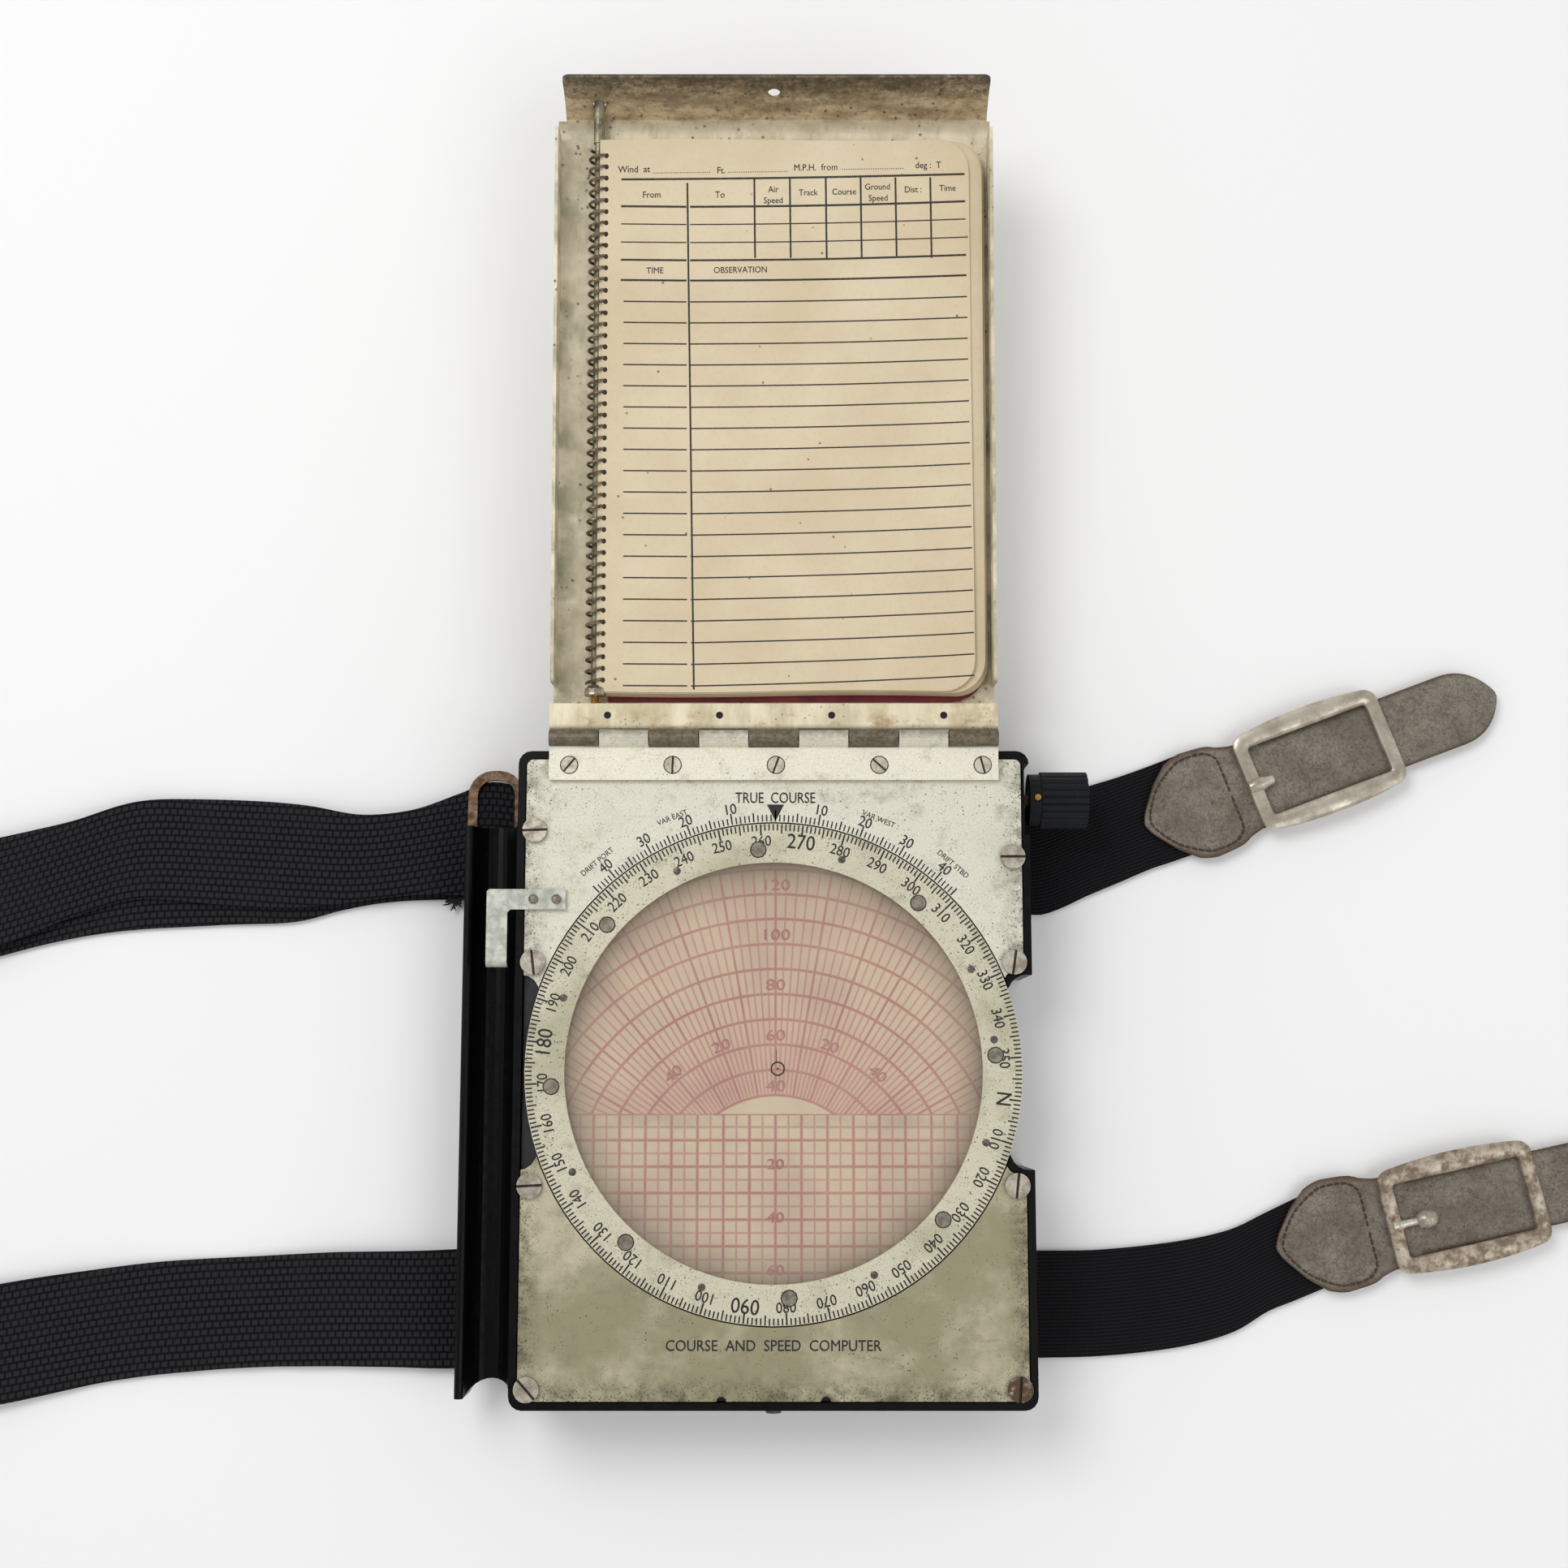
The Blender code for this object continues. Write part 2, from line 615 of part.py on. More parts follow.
def make_hinge():
    """Case leaf, pin and screws of the lid hinge."""
    holes = leaf_holes(2.5 * MM, 20 * MM, 40 * MM, 16)
    hinge_leaf("hinge_leaf_case", LEAF_NEAR, HINGE_Y - KNUCKLE_R - GAP, 1, HINGE_METAL, None, holes)
    pin = rod(PIN_R, (-HINGE_HALF + GAP, HINGE_Y, HINGE_Z), (HINGE_HALF - GAP, HINGE_Y, HINGE_Z), 12)
    finish(pin, "hinge_pin", DARK_METAL)
    turns = (50, 88, 70, -42, -75)
    for number, (x, turn) in enumerate(zip(leaf_screw_places(), turns), start=1):
        slotted_screw(f"hinge_screw_{number}", (x, LEAF_SCREW_Y, LEAF_Z + LEAF_T + 0.1 * MM),
                      2.2 * MM, 1.0 * MM, 1.1 * MM, 6 * MM, turn, SCREW_METAL, 0.55 * MM, 0.4 * MM)


def lip_profile(offset, points=10):
    """Points along the lid's curled end, as (along lid, height), offset outwards."""
    start, end = LIP_SLOPE
    line = []
    for i in range(points + 1):
        slope = start + (end - start) * i / points
        along = LIP_START + LIP_R * (math.sin(slope) - math.sin(start))
        up = LIP_R * (math.cos(start) - math.cos(slope))
        line.append((HINGE_Y + along + offset * math.sin(slope),
                     BASE_TOP + up - offset * math.cos(slope)))
    return line


def lip_corner(end, side):
    """Cutter that rounds one corner of the lip's free edge."""
    top = BASE_TOP + LIP_R * (math.cos(LIP_SLOPE[0]) - math.cos(LIP_SLOPE[1]))
    centre = (end - side * LIP_CORNER, top - LIP_CORNER)
    curve = [(centre[0] + side * LIP_CORNER * math.cos(a), centre[1] + LIP_CORNER * math.sin(a))
             for a in (math.radians(d) for d in range(0, 91, 15))]
    outline = curve + [(centre[0], top + 2 * MM), (end + side * MM, top + 2 * MM),
                       (end + side * MM, centre[1])]
    return slab([outline], HINGE_Y + LIP_START, HINGE_Y + 195 * MM, "Y")


def make_lid():
    """Sheet-metal lid: hinge wall, base, curled end lip and side flanges."""
    base_low = BASE_TOP - LID_T
    wall_y = HINGE_Y + LID_BAR_FAR
    section = [(wall_y - LID_T, LEAF_Z - GAP), (wall_y - LID_T, base_low)]
    section += [(HINGE_Y + LIP_START, base_low)] + lip_profile(LID_T)
    section += lip_profile(0.0)[::-1] + [(wall_y, BASE_TOP), (wall_y, LEAF_Z - GAP)]
    lid = slab([section], -LID_HALF, LID_HALF, "X")
    inset = 0.05 * MM
    flanges = []
    trims = []
    for side in (-1, 1):
        x = sorted((side * (LID_HALF - inset), side * (LID_HALF - LID_T - inset)))
        outline = round_box(HINGE_Y + FLANGE_NEAR, HINGE_Y + FLANGE_FAR, BASE_TOP - LID_T / 2,
                            BASE_TOP + LID_DEPTH, 1.2 * MM, 3)
        flanges.append(slab([outline], x[0], x[1], "X"))
        end = LIP_X[(side + 1) // 2]
        trims.append(box(sorted((end, side * (LID_HALF + 2 * MM))),
                         (HINGE_Y + LIP_START - 0.5 * MM, HINGE_Y + 190 * MM),
                         (10 * MM, 50 * MM)))
        trims.append(lip_corner(end, side))
    lid = join(cut(lid, *trims), *flanges)
    tall = BASE_TOP + LIP_HOLE_UP
    sight = rod(LIP_HOLE_R, (0, HINGE_Y + 172 * MM, tall), (0, HINGE_Y + 190 * MM, tall), 16)
    passage = rod(ROD_HEAD_R - 0.4 * MM, (COIL_X, HINGE_Y + 172 * MM, COIL_Z),
                  (COIL_X, HINGE_Y + 190 * MM, COIL_Z), 16)
    stub = rod(1.1 * MM + GAP, (COIL_X, HINGE_Y, COIL_Z), (COIL_X, HINGE_Y + 12 * MM, COIL_Z), 12)
    finish(cut(lid, sight, passage, stub), "lid_shell", LID_METAL, LID)
    holes = [rod(0.95 * MM, (x * MM, HINGE_Y + 6.2 * MM, LEAF_Z + 0.3 * MM),
                 (x * MM, HINGE_Y + 6.2 * MM, 40 * MM), 12) for x in (-44.5, -14.5, 15.5, 45.5)]
    hinge_leaf("hinge_leaf_lid", HINGE_Y + LID_BAR_NEAR, HINGE_Y + LID_BAR_FAR, 0,
               HINGE_METAL, LID, holes)


def make_pad():
    """Note pad in the lid, with the rod that holds its coil."""
    near = HINGE_Y + PAD_NEAR
    far = HINGE_Y + PAD_FAR
    low = BASE_TOP + GAP
    outline = arc(PAD_RIGHT - PAD_CORNER, far - PAD_CORNER, PAD_CORNER, 0, 90, 6)
    outline += [(PAD_LEFT, far), (PAD_LEFT, near)]
    outline += arc(PAD_RIGHT - PAD_CORNER, near + PAD_CORNER, PAD_CORNER, 270, 360, 6)
    finish(slab([outline], low, low + COVER_T), "pad_back_cover", CRIMSON, LID)
    low += COVER_T + GAP
    finish(slab([outline], low, low + PAGES_T), "pad_pages", PAPER, LID)
    coil = slab([arc(COIL_X, COIL_Z, COIL_R, 0, 345, 23),
                 arc(COIL_X, COIL_Z, COIL_R - COIL_T, 0, 345, 23)],
                near + 4.6 * MM, far - 1 * MM, "Y")
    finish(coil, "spiral_binding", WIRE_METAL, LID)
    start = HINGE_Y + LID_BAR_FAR - LID_T
    socket = turned([(0.0, 6.6 * MM), (1.6 * MM, 6.6 * MM), (2.9 * MM, 5.4 * MM),
                     (2.9 * MM, 3.6 * MM), (1.1 * MM, 3.6 * MM), (1.1 * MM, 0.0), (0.0, 0.0)],
                    (0, 0, 0), 12)
    socket.rotation_euler = (-math.pi / 2, 0.0, 0.0)
    apply_transform(socket, rotation=True)
    socket.location = (COIL_X, start, COIL_Z)
    finish(socket, "rod_socket", BRASS, LID)
    inside = start + 6.6 * MM + GAP
    shaft = rod(ROD_R, (COIL_X, inside, COIL_Z), (COIL_X, HINGE_Y + 170 * MM, COIL_Z), 12)
    thick = rod(1.5 * MM, (COIL_X, HINGE_Y + 166 * MM, COIL_Z),
                (COIL_X, HINGE_Y + 180 * MM, COIL_Z), 12)
    head = rod(ROD_HEAD_R, (COIL_X, HINGE_Y + 179.3 * MM, COIL_Z),
               (COIL_X, HINGE_Y + 181.2 * MM, COIL_Z), 16)
    finish(join(shaft, thick, head), "pad_rod", ROD_METAL, ROD)


def make_trough():
    """Pencil trough moulding beside the case."""
    section = [(TROUGH_IN, TROUGH_BOTTOM), (TROUGH_IN, TROUGH_TOP),
               (CHANNEL_X + CHANNEL_R, TROUGH_TOP)]
    section += arc(CHANNEL_X, TROUGH_TOP - 1 * MM, CHANNEL_R, 0, -180, 14)
    section += [(CHANNEL_X - CHANNEL_R, TROUGH_TOP - 0.6 * MM)]
    section += arc(TROUGH_OUT + 1.2 * MM, TROUGH_TOP - 1.0 * MM, 1.2 * MM, 45, 180, 4)
    section += arc(TROUGH_OUT + 6 * MM, TROUGH_BOTTOM + 6 * MM, 6 * MM, 180, 270, 5)
    trough = slab([section], TROUGH_Y[0], TROUGH_Y[1], "Y")
    scoop = rod(7.6 * MM, (CHANNEL_X + 1 * MM, TROUGH_Y[0] - 3 * MM, 0),
                (CHANNEL_X + 1 * MM, TROUGH_Y[0] - 3 * MM, 40 * MM), 32)
    finish(cut(trough, scoop), "pencil_trough", BAKELITE)


def make_clip():
    """Sprung strip that holds the pencil, with its two rivets."""
    low = CASE_Z + GAP
    high = low + 0.8 * MM
    arm_y = (43.2 * MM, 48.6 * MM)
    strip = slab([[(-55.1 * MM, arm_y[0]), (-55.1 * MM, arm_y[1]), (-75.4 * MM, arm_y[1]),
                   (-76.0 * MM, arm_y[1] - 0.6 * MM), (-76.0 * MM, 29.5 * MM),
                   (-70.5 * MM, 29.5 * MM), (-70.5 * MM, arm_y[0] - 0.8 * MM),
                   (-69.7 * MM, arm_y[0])]], low, high)
    roll = arc(29.8 * MM, low - 1.0 * MM, 1.8 * MM, 90, 200, 6)
    roll += arc(29.8 * MM, low - 1.0 * MM, 1.0 * MM, 200, 90, 6)
    curl = slab([roll], -76.0 * MM, -70.5 * MM, "X")
    clip = join(strip, curl)
    places = (-63.6 * MM, -57.5 * MM)
    middle = sum(arm_y) / 2
    holes = [rod(0.9 * MM, (x, middle, 20 * MM), (x, middle, 40 * MM), 12) for x in places]
    finish(cut(clip, *holes), "pencil_clip", ZINC)
    for number, x in enumerate(places, start=1):
        rivet = rod(0.6 * MM, (x, middle, PLATE_TOP + GAP), (x, middle, high + 0.4 * MM), 12)
        dome = turned([(0.0, 0.6 * MM), (0.8 * MM, 0.5 * MM), (1.3 * MM, 0.0), (0.0, 0.0)],
                      (x, middle, high + GAP), 16)
        finish(join(dome, rivet), f"clip_rivet_{number}", SCREW_METAL)


def make_catch():
    """Stud on the front wall, under the closed lid's lip."""
    front = -CASE_Y / 2 - GAP
    stud = rod(2.0 * MM, (0, front, 22 * MM), (0, front - 1.3 * MM, 22 * MM), 16)
    finish(stud, "lid_catch_stud", DARK_METAL)


def make_loops():
    """Flat wire loops that keep the webbing against the left side."""
    for name, middle, half in (("strap_loop_upper", 64 * MM, 20 * MM),
                               ("strap_loop_lower", -60.2 * MM, 18.4 * MM)):
        x0, x1 = -85.2 * MM, -69.6 * MM
        y0, y1 = middle - half, middle + half
        bar = 2.6 * MM
        outer = round_box(x0, x1, y0, y1, 7 * MM, 5)
        inner = round_box(x0 + bar, x1 - bar, y0 + bar, y1 - bar, 4.4 * MM, 5)
        finish(slab([outer, inner], 3.6 * MM, 5.2 * MM), name, RUSTED)


def strap(name, route, width, thick, look, folds=()):
    """Strap lying flat on the table, with any doubled stretches on top."""
    item = slab([ribbon(route, width)], STRAP_Z, STRAP_Z + thick)
    extra = [slab([ribbon(fold, width)], STRAP_Z + thick - 0.1 * MM, STRAP_Z + 2 * thick)
             for fold in folds]
    if extra:
        item = join(item, *extra)
    finish(item, name, look)


def make_straps():
    """Webbing to the left of the case and elastic to the right of it."""
    strap("webbing_upper", WEB_UPPER, WEB_W, WEB_T, WEBBING, [WEB_UPPER_FOLD])
    strap("webbing_lower", WEB_LOWER, WEB_W, WEB_T, WEBBING, [WEB_LOWER_FOLD])
    strap("elastic_upper", ELASTIC_UPPER, ELASTIC_W, ELASTIC_T, ELASTIC)
    strap("elastic_lower", ELASTIC_LOWER, ELASTIC_W, ELASTIC_T, ELASTIC)


def placed(points, origin, turn):
    """Outline points in millimetres, turned and moved to a place on the table."""
    c, s = math.cos(math.radians(turn)), math.sin(math.radians(turn))
    return [((origin[0] + x * c - y * s) * MM, (origin[1] + x * s + y * c) * MM)
            for x, y in points]


def leather_outline(length):
    """Leather strap in its own millimetres: sewn point at the left, round tip at the right."""
    half = 10.3
    points = [(-52.0, 0.0), (-46.0, -9.0), (-38.0, -15.2), (-27.0, -15.2), (-21.0, -half)]
    points += [(length - 9.0, -half)] + arc(length - 9.0, 0.0, half, -75, 75, 8)
    points += [(length - 9.0, half), (-21.0, half), (-27.0, 15.2), (-38.0, 15.2), (-46.0, 9.0)]
    return points


def make_buckles():
    """Leather end and buckle of each elastic strap."""
    for which, origin, turn, length in BUCKLES:
        outline = placed(leather_outline(length), origin, turn)
        finish(slab([outline], LEATHER_Z, LEATHER_Z + LEATHER_T), f"leather_tab_{which}", LEATHER)
        outer = placed(round_box(-21.0, 21.0, -13.0, 13.0, 3.0), origin, turn)
        inner = placed(round_box(-17.6, 17.6, -11.0, 11.0, 1.5), origin, turn)
        frame = slab([outer, inner], BUCKLE_Z, BUCKLE_Z + BUCKLE_T)
        posts = [slab([placed(round_box(-1.2, 1.2, low, low + 1.6, 0.3, 2), origin, turn)],
                      STRAP_Z, BUCKLE_Z + 1 * MM) for low in (-12.4, 10.8)]
        bar = slab([placed(round_box(-1.2, 1.2, -12.0, 12.0, 0.3, 2), origin, turn)],
                   STRAP_Z, LEATHER_Z - GAP)
        finish(join(frame, *posts, bar), f"buckle_{which}", BUCKLE_METAL)


# Strap routes on the table, in millimetres from the case's middle
WEB_UPPER = [(58, 60), (20, 62), (-40, 62.5), (-68, 63), (-86, 63.8), (-105, 61), (-130, 60.4),
             (-155, 61.8), (-176, 62), (-191, 57.6), (-205, 53.4), (-222, 48.5), (-252, 41)]
WEB_UPPER_FOLD = [(-108, 58.6), (-130, 57.5), (-155, 58), (-176, 58.4), (-191, 55), (-205, 50.5),
                  (-222, 46.5), (-251, 40)]
WEB_LOWER = [(58, -62), (20, -62), (-40, -62), (-68, -62.1), (-87, -62.2), (-122, -63.3),
             (-157, -64.8), (-181, -67.6), (-210, -72.2), (-246, -79)]
WEB_LOWER_FOLD = [(-150, -63.8), (-181, -66.5), (-210, -71), (-245, -78)]
ELASTIC_UPPER = [(59, 60.2), (68, 60), (80, 61.6), (94, 66.4), (110, 72.4), (125, 78)]
ELASTIC_LOWER = [(59, -62), (72, -62), (89, -61.4), (114, -58.2), (131, -53.4), (147, -46),
                 (158, -42)]

# Buckle middle, turn in degrees and how far the leather runs past it
BUCKLES = (("upper", (152.3, 87.2), 20.5, 53.0), ("lower", (187.4, -35.6), 12.5, 45.0))

BASE_TOP = HINGE_Z - LID_DEPTH
COIL_Z = BASE_TOP + COIL_R + GAP

clear_scene()
PARTS = new_collection("flight_computer")
CUTTERS = new_collection("cutters")

BAKELITE = material("bakelite", (0.012, 0.012, 0.014), 0.22)
BLACK_PAINT = material("black_paint", (0.02, 0.022, 0.026), 0.5)
FACE_METAL = material("face_metal", (0.62, 0.6, 0.48), 0.5, 0.35)
LID_METAL = material("lid_metal", (0.36, 0.35, 0.28), 0.5, 0.6)
HINGE_METAL = material("hinge_metal", (0.6, 0.57, 0.44), 0.45, 0.5)
SCREW_METAL = material("screw_metal", (0.42, 0.39, 0.33), 0.4, 0.8)
DARK_METAL = material("dark_metal", (0.1, 0.1, 0.1), 0.45, 0.8)
ROD_METAL = material("rod_metal", (0.3, 0.3, 0.28), 0.35, 0.9)
WIRE_METAL = material("wire_metal", (0.07, 0.055, 0.05), 0.4, 0.7)
CHEEK_METAL = material("cheek_metal", (0.4, 0.4, 0.38), 0.45, 0.8)
BRASS = material("brass", (0.55, 0.42, 0.18), 0.35, 0.9)
ZINC = material("zinc", (0.45, 0.46, 0.42), 0.45, 0.8)
RUSTED = material("rusted_steel", (0.28, 0.18, 0.12), 0.75, 0.4)
BUCKLE_METAL = material("buckle_metal", (0.2, 0.17, 0.14), 0.5, 0.7)
FROSTED = material("frosted_window", (0.55, 0.45, 0.4), 0.5)
CHART = material("chart", (0.75, 0.65, 0.58), 0.7)
ROLLER_WOOD = material("roller", (0.3, 0.2, 0.12), 0.6)
CRIMSON = material("crimson_card", (0.25, 0.02, 0.06), 0.6)
PAPER = material("paper", (0.75, 0.65, 0.48), 0.85)
WEBBING = material("webbing", (0.012, 0.012, 0.014), 0.9)
ELASTIC = material("elastic", (0.02, 0.02, 0.022), 0.85)
LEATHER = material("grey_leather", (0.12, 0.12, 0.12), 0.7)

ROSE = pivot("rose_axis", (0.0, RING_Y, PLATE_TOP))
UPPER = pivot("upper_roller_axis", (0.0, ROLLER_Y, ROLLER_Z))
LOWER = pivot("lower_roller_axis", (0.0, -ROLLER_Y, ROLLER_Z))
LID = pivot("lid_axis", (0.0, HINGE_Y, HINGE_Z), LID_OPEN)
ROD = pivot("pad_rod_axis", (COIL_X, HINGE_Y, COIL_Z), 0.0, LID)

make_case()
make_bearing_frame()
make_face_plates()
make_face_screws()
make_ring()
make_rollers()
make_knob()
make_hinge()
make_lid()
make_pad()
make_trough()
make_clip()
make_catch()
make_loops()
make_straps()
make_buckles()
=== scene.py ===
"""Looks of a knee-strapped flight computer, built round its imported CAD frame."""
import random
from math import copysign, cos, dist, exp, pi, radians, sin, sqrt

import bmesh
import bpy
import numpy as np
from mathutils import Matrix, Vector


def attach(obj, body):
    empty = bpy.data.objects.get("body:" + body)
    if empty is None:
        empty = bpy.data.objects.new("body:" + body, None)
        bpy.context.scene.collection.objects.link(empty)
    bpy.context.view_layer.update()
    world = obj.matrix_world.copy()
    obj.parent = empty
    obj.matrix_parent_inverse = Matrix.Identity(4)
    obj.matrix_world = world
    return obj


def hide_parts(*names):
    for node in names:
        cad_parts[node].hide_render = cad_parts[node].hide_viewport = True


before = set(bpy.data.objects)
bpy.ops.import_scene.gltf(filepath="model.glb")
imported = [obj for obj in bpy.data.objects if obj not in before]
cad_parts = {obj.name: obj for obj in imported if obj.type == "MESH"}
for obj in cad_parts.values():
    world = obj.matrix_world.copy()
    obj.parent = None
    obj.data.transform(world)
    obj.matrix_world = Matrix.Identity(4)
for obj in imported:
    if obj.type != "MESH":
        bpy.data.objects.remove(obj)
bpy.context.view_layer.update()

MM = 0.001
RING_CENTRE = Vector((0.0, 0.84 * MM, 0.0))
FACE_Z = 29.7 * MM
INK = 0.03 * MM
HINGE = Vector((0.0, 89.0 * MM, 31.6 * MM))
LID_TURN = Matrix.Rotation(radians(3), 4, "X")
LID_PLACE = Matrix.Translation(HINGE) @ LID_TURN @ Matrix.Translation(-HINGE)


def linear(tone):
    """Linear colour of an sRGB colour given out of 255."""
    values = [c / 255 for c in tone]
    return tuple(c / 12.92 if c <= 0.04045 else ((c + 0.055) / 1.055) ** 2.4 for c in values) + (1.0,)


# ---------------- materials


class Look:
    """A node material, painted in layers over the Principled shader. Its colours are sRGB out of 255."""

    def __init__(self, name, **uniform):
        self.material = bpy.data.materials.new(name + "_look")
        self.material.use_nodes = True
        self.tree = self.material.node_tree
        self.shader = self.tree.nodes["Principled BSDF"]
        self.at = self.tree.nodes.new("ShaderNodeTexCoord").outputs["Object"]
        self.colour = None
        self.put(**uniform)

    def put(self, **sockets):
        """Sets or links the shader's sockets, written with underscores."""
        for name, value in sockets.items():
            self.plug(self.shader.inputs[name.replace("_", " ")], value)

    def plug(self, socket, value):
        if isinstance(value, bpy.types.NodeSocket):
            self.tree.links.new(value, socket)
        else:
            socket.default_value = linear(value) if socket.type == "RGBA" else value

    def node(self, kind, *values, output=0, **settings):
        item = self.tree.nodes.new("ShaderNode" + kind)
        for name, value in settings.items():
            setattr(item, name, value)
        for socket, value in zip(item.inputs, values):
            self.plug(socket, value)
        return item.outputs[output]

    def math(self, operation, *values):
        """A sum, product or other operation over one or more values, taken in order."""
        total = values[0]
        for value in values[1:] or (0.0,):
            total = self.node("Math", total, value, operation=operation)
        return total

    def times(self, *values):
        return self.math("MULTIPLY", *values)

    def add(self, *values):
        return self.math("ADD", *values)

    def minus(self, a, b):
        return self.math("SUBTRACT", a, b)

    def most(self, *values):
        return self.math("MAXIMUM", *values)

    def absolute(self, value):
        return self.math("ABSOLUTE", value)

    def distance(self, a, b):
        return self.node("VectorMath", a, b, operation="DISTANCE", output=1)

    def axis(self, which):
        return self.node("SeparateXYZ", self.at, output="XYZ".index(which))

    def attribute(self, name):
        item = self.tree.nodes.new("ShaderNodeAttribute")
        item.attribute_name = name
        return item.outputs["Fac"]

    def texture(self, kind, place, output, **sockets):
        """Texture node, with its sockets set by name."""
        item = self.tree.nodes.new("ShaderNodeTex" + kind)
        for name, value in dict(sockets, Vector=place).items():
            self.plug(item.inputs[name], value)
        return item.outputs[output]

    def noise(self, size_mm, detail=4.0, rough=0.6, stretch=(1, 1, 1), shift=0.0, twist=0.0):
        """Noise from 0 to 1 with features of about that size."""
        place = self.node("VectorMath", self.at, stretch, operation="MULTIPLY")
        if shift:
            place = self.node("VectorMath", place, (shift, shift, shift), operation="ADD")
        return self.texture("Noise", place, 0, Scale=1 / (size_mm * MM), Detail=detail, Roughness=rough,
                            Distortion=twist)

    def cells(self, size_mm, shift=0.0):
        """Distance to the nearest of a set of scattered points, 0 at each point."""
        place = self.node("VectorMath", self.at, (shift, shift, shift), operation="ADD")
        return self.texture("Voronoi", place, "Distance", Scale=1 / (size_mm * MM))

    def step(self, value, low, high, start=0.0, end=1.0):
        """Smooth change from start to end as value goes from low to high."""
        item = self.tree.nodes.new("ShaderNodeMapRange")
        item.interpolation_type = "SMOOTHSTEP"
        for name, number in (("Value", value), ("From Min", low), ("From Max", high),
                             ("To Min", start), ("To Max", end)):
            self.plug(item.inputs[name], number)
        return item.outputs[0]

    def blotch(self, low, high, *noise, start=0.0, end=1.0, **place):
        """Noise made into patches: start where it is under low, end where it is over high."""
        return self.step(self.noise(*noise, **place), low, high, start, end)

    def specks(self, size_mm, radius, share, shift=0.0):
        """Small scattered spots, in patches that cover about that share."""
        spots = self.step(self.cells(size_mm, shift), radius * 0.5, radius, 1.0, 0.0)
        return self.times(spots, self.blotch(0.62 - share * 0.3, 0.72 - share * 0.3, size_mm * 6, 2.0,
                                             shift=shift + 0.3))

    def mix(self, share, a, b):
        item = self.tree.nodes.new("ShaderNodeMix")
        item.data_type = "RGBA"
        for index, value in ((0, share), (6, a), (7, b)):
            self.plug(item.inputs[index], value)
        return item.outputs[2]

    def base(self, share, light, dark):
        """Starts the colour as a mix of two tones."""
        self.colour = self.mix(share, light, dark)

    def tint(self, share, tone):
        """Paints a tone over the colour so far."""
        self.colour = self.mix(share, self.colour, tone)

    def sheen(self, size_mm, detail, low, high):
        """Roughness that wanders between two values."""
        self.put(Roughness=self.blotch(0.3, 0.7, size_mm, detail, start=low, end=high))

    def finish(self, height, depth_mm, strength):
        """Adds the colour and the bump, and gives the material."""
        item = self.tree.nodes.new("ShaderNodeBump")
        for name, value in (("Strength", strength), ("Distance", depth_mm * MM), ("Height", height)):
            self.plug(item.inputs[name], value)
        self.put(Base_Color=self.colour, Normal=item.outputs[0])
        return self.material


def worn_plate(name, light, dark, patina, metallic, edge, specks, shift=0.0, knuckles=False):
    """Silvered plate gone cream and green, speckled black where the silver has pitted."""
    look = Look(name, Metallic=metallic)
    look.base(look.blotch(0.62 - patina * 0.35, 0.78 - patina * 0.2, 26, 5.0, 0.62, shift=shift), light, dark)
    look.tint(look.blotch(0.3, 0.75, 0.55, 3.0, 0.7, end=0.3), (148, 144, 124))
    look.tint(look.blotch(0.52, 0.74, 7, 6.0, 0.7, shift=shift + 0.7, end=0.5), (134, 128, 100))
    streak = look.blotch(0.58, 0.74, 2.4, 5.0, 0.7, (0.16, 1, 1), shift + 2.1, end=patina * 0.4)
    look.tint(streak, (92, 84, 62))
    # With knuckles set, painted shade darkens the curled knuckles round the hinge pin.
    if knuckles:
        knuckle_shade = look.step(look.axis("Y"), 0.0862, 0.0908)
        look.tint(look.times(knuckle_shade, look.blotch(0.3, 0.6, 2.5, start=0.45, end=0.75)), (112, 106, 88))
    if edge:
        near = look.most(look.step(look.absolute(look.axis("X")), edge[0] - 0.007, edge[0]),
                         look.step(look.absolute(look.axis("Y")), edge[1] - 0.008, edge[1]))
        stain = look.blotch(0.35, 0.68, 5, 5.0, 0.7, shift=1.1, end=edge[2])
        look.tint(look.times(near, stain), (86, 80, 58))
        look.tint(look.times(near, look.specks(0.8, 0.34, 1.2, shift + 0.5), 0.85), (56, 54, 40))
    dots = look.most(look.specks(1.5, 0.2, specks, shift), look.specks(0.6, 0.27, specks * 1.2, shift + 0.2))
    look.tint(look.times(dots, 0.78), (44, 40, 32))
    look.sheen(3, 4.0, 0.42, 0.62)
    return look.finish(look.minus(look.times(look.noise(0.35, 3.0), 0.5), dots), 0.05, 0.5)


def plain_metal(name, light, dark, size_mm, metallic=0.8, rough=(0.3, 0.55), stretch=(1, 1, 1),
                rust=0.0, depth=0.04):
    """Metal with blotches, fine grain and, where asked, rust."""
    look = Look(name, Metallic=metallic)
    look.base(look.blotch(0.36, 0.64, size_mm, 6.0, 0.68, stretch), light, dark)
    if rust:
        look.tint(look.blotch(0.66 - rust * 0.25, 0.74, size_mm * 0.8, 6.0, 0.75, shift=2.3), (104, 66, 34))
    look.sheen(size_mm * 0.5, 4.0, *rough)
    return look.finish(look.noise(size_mm * 0.15, 5.0, 0.7, stretch), depth, 0.6)


def moulding(name, tone, rough, dusty=0.1):
    """Black moulding with dust and fine scratches."""
    look = Look(name, Specular_IOR_Level=0.12)
    look.base(look.blotch(0.55, 0.8, 2.2, 7.0, 0.75, (1, 0.35, 1), end=dusty), tone, (120, 116, 110))
    look.put(Roughness=look.blotch(0.3, 0.75, 4, 6.0, 0.7, start=rough, end=rough + 0.22))
    return look.finish(look.noise(0.8, 5.0, 0.7, (1, 0.15, 1)), 0.02, 0.4)


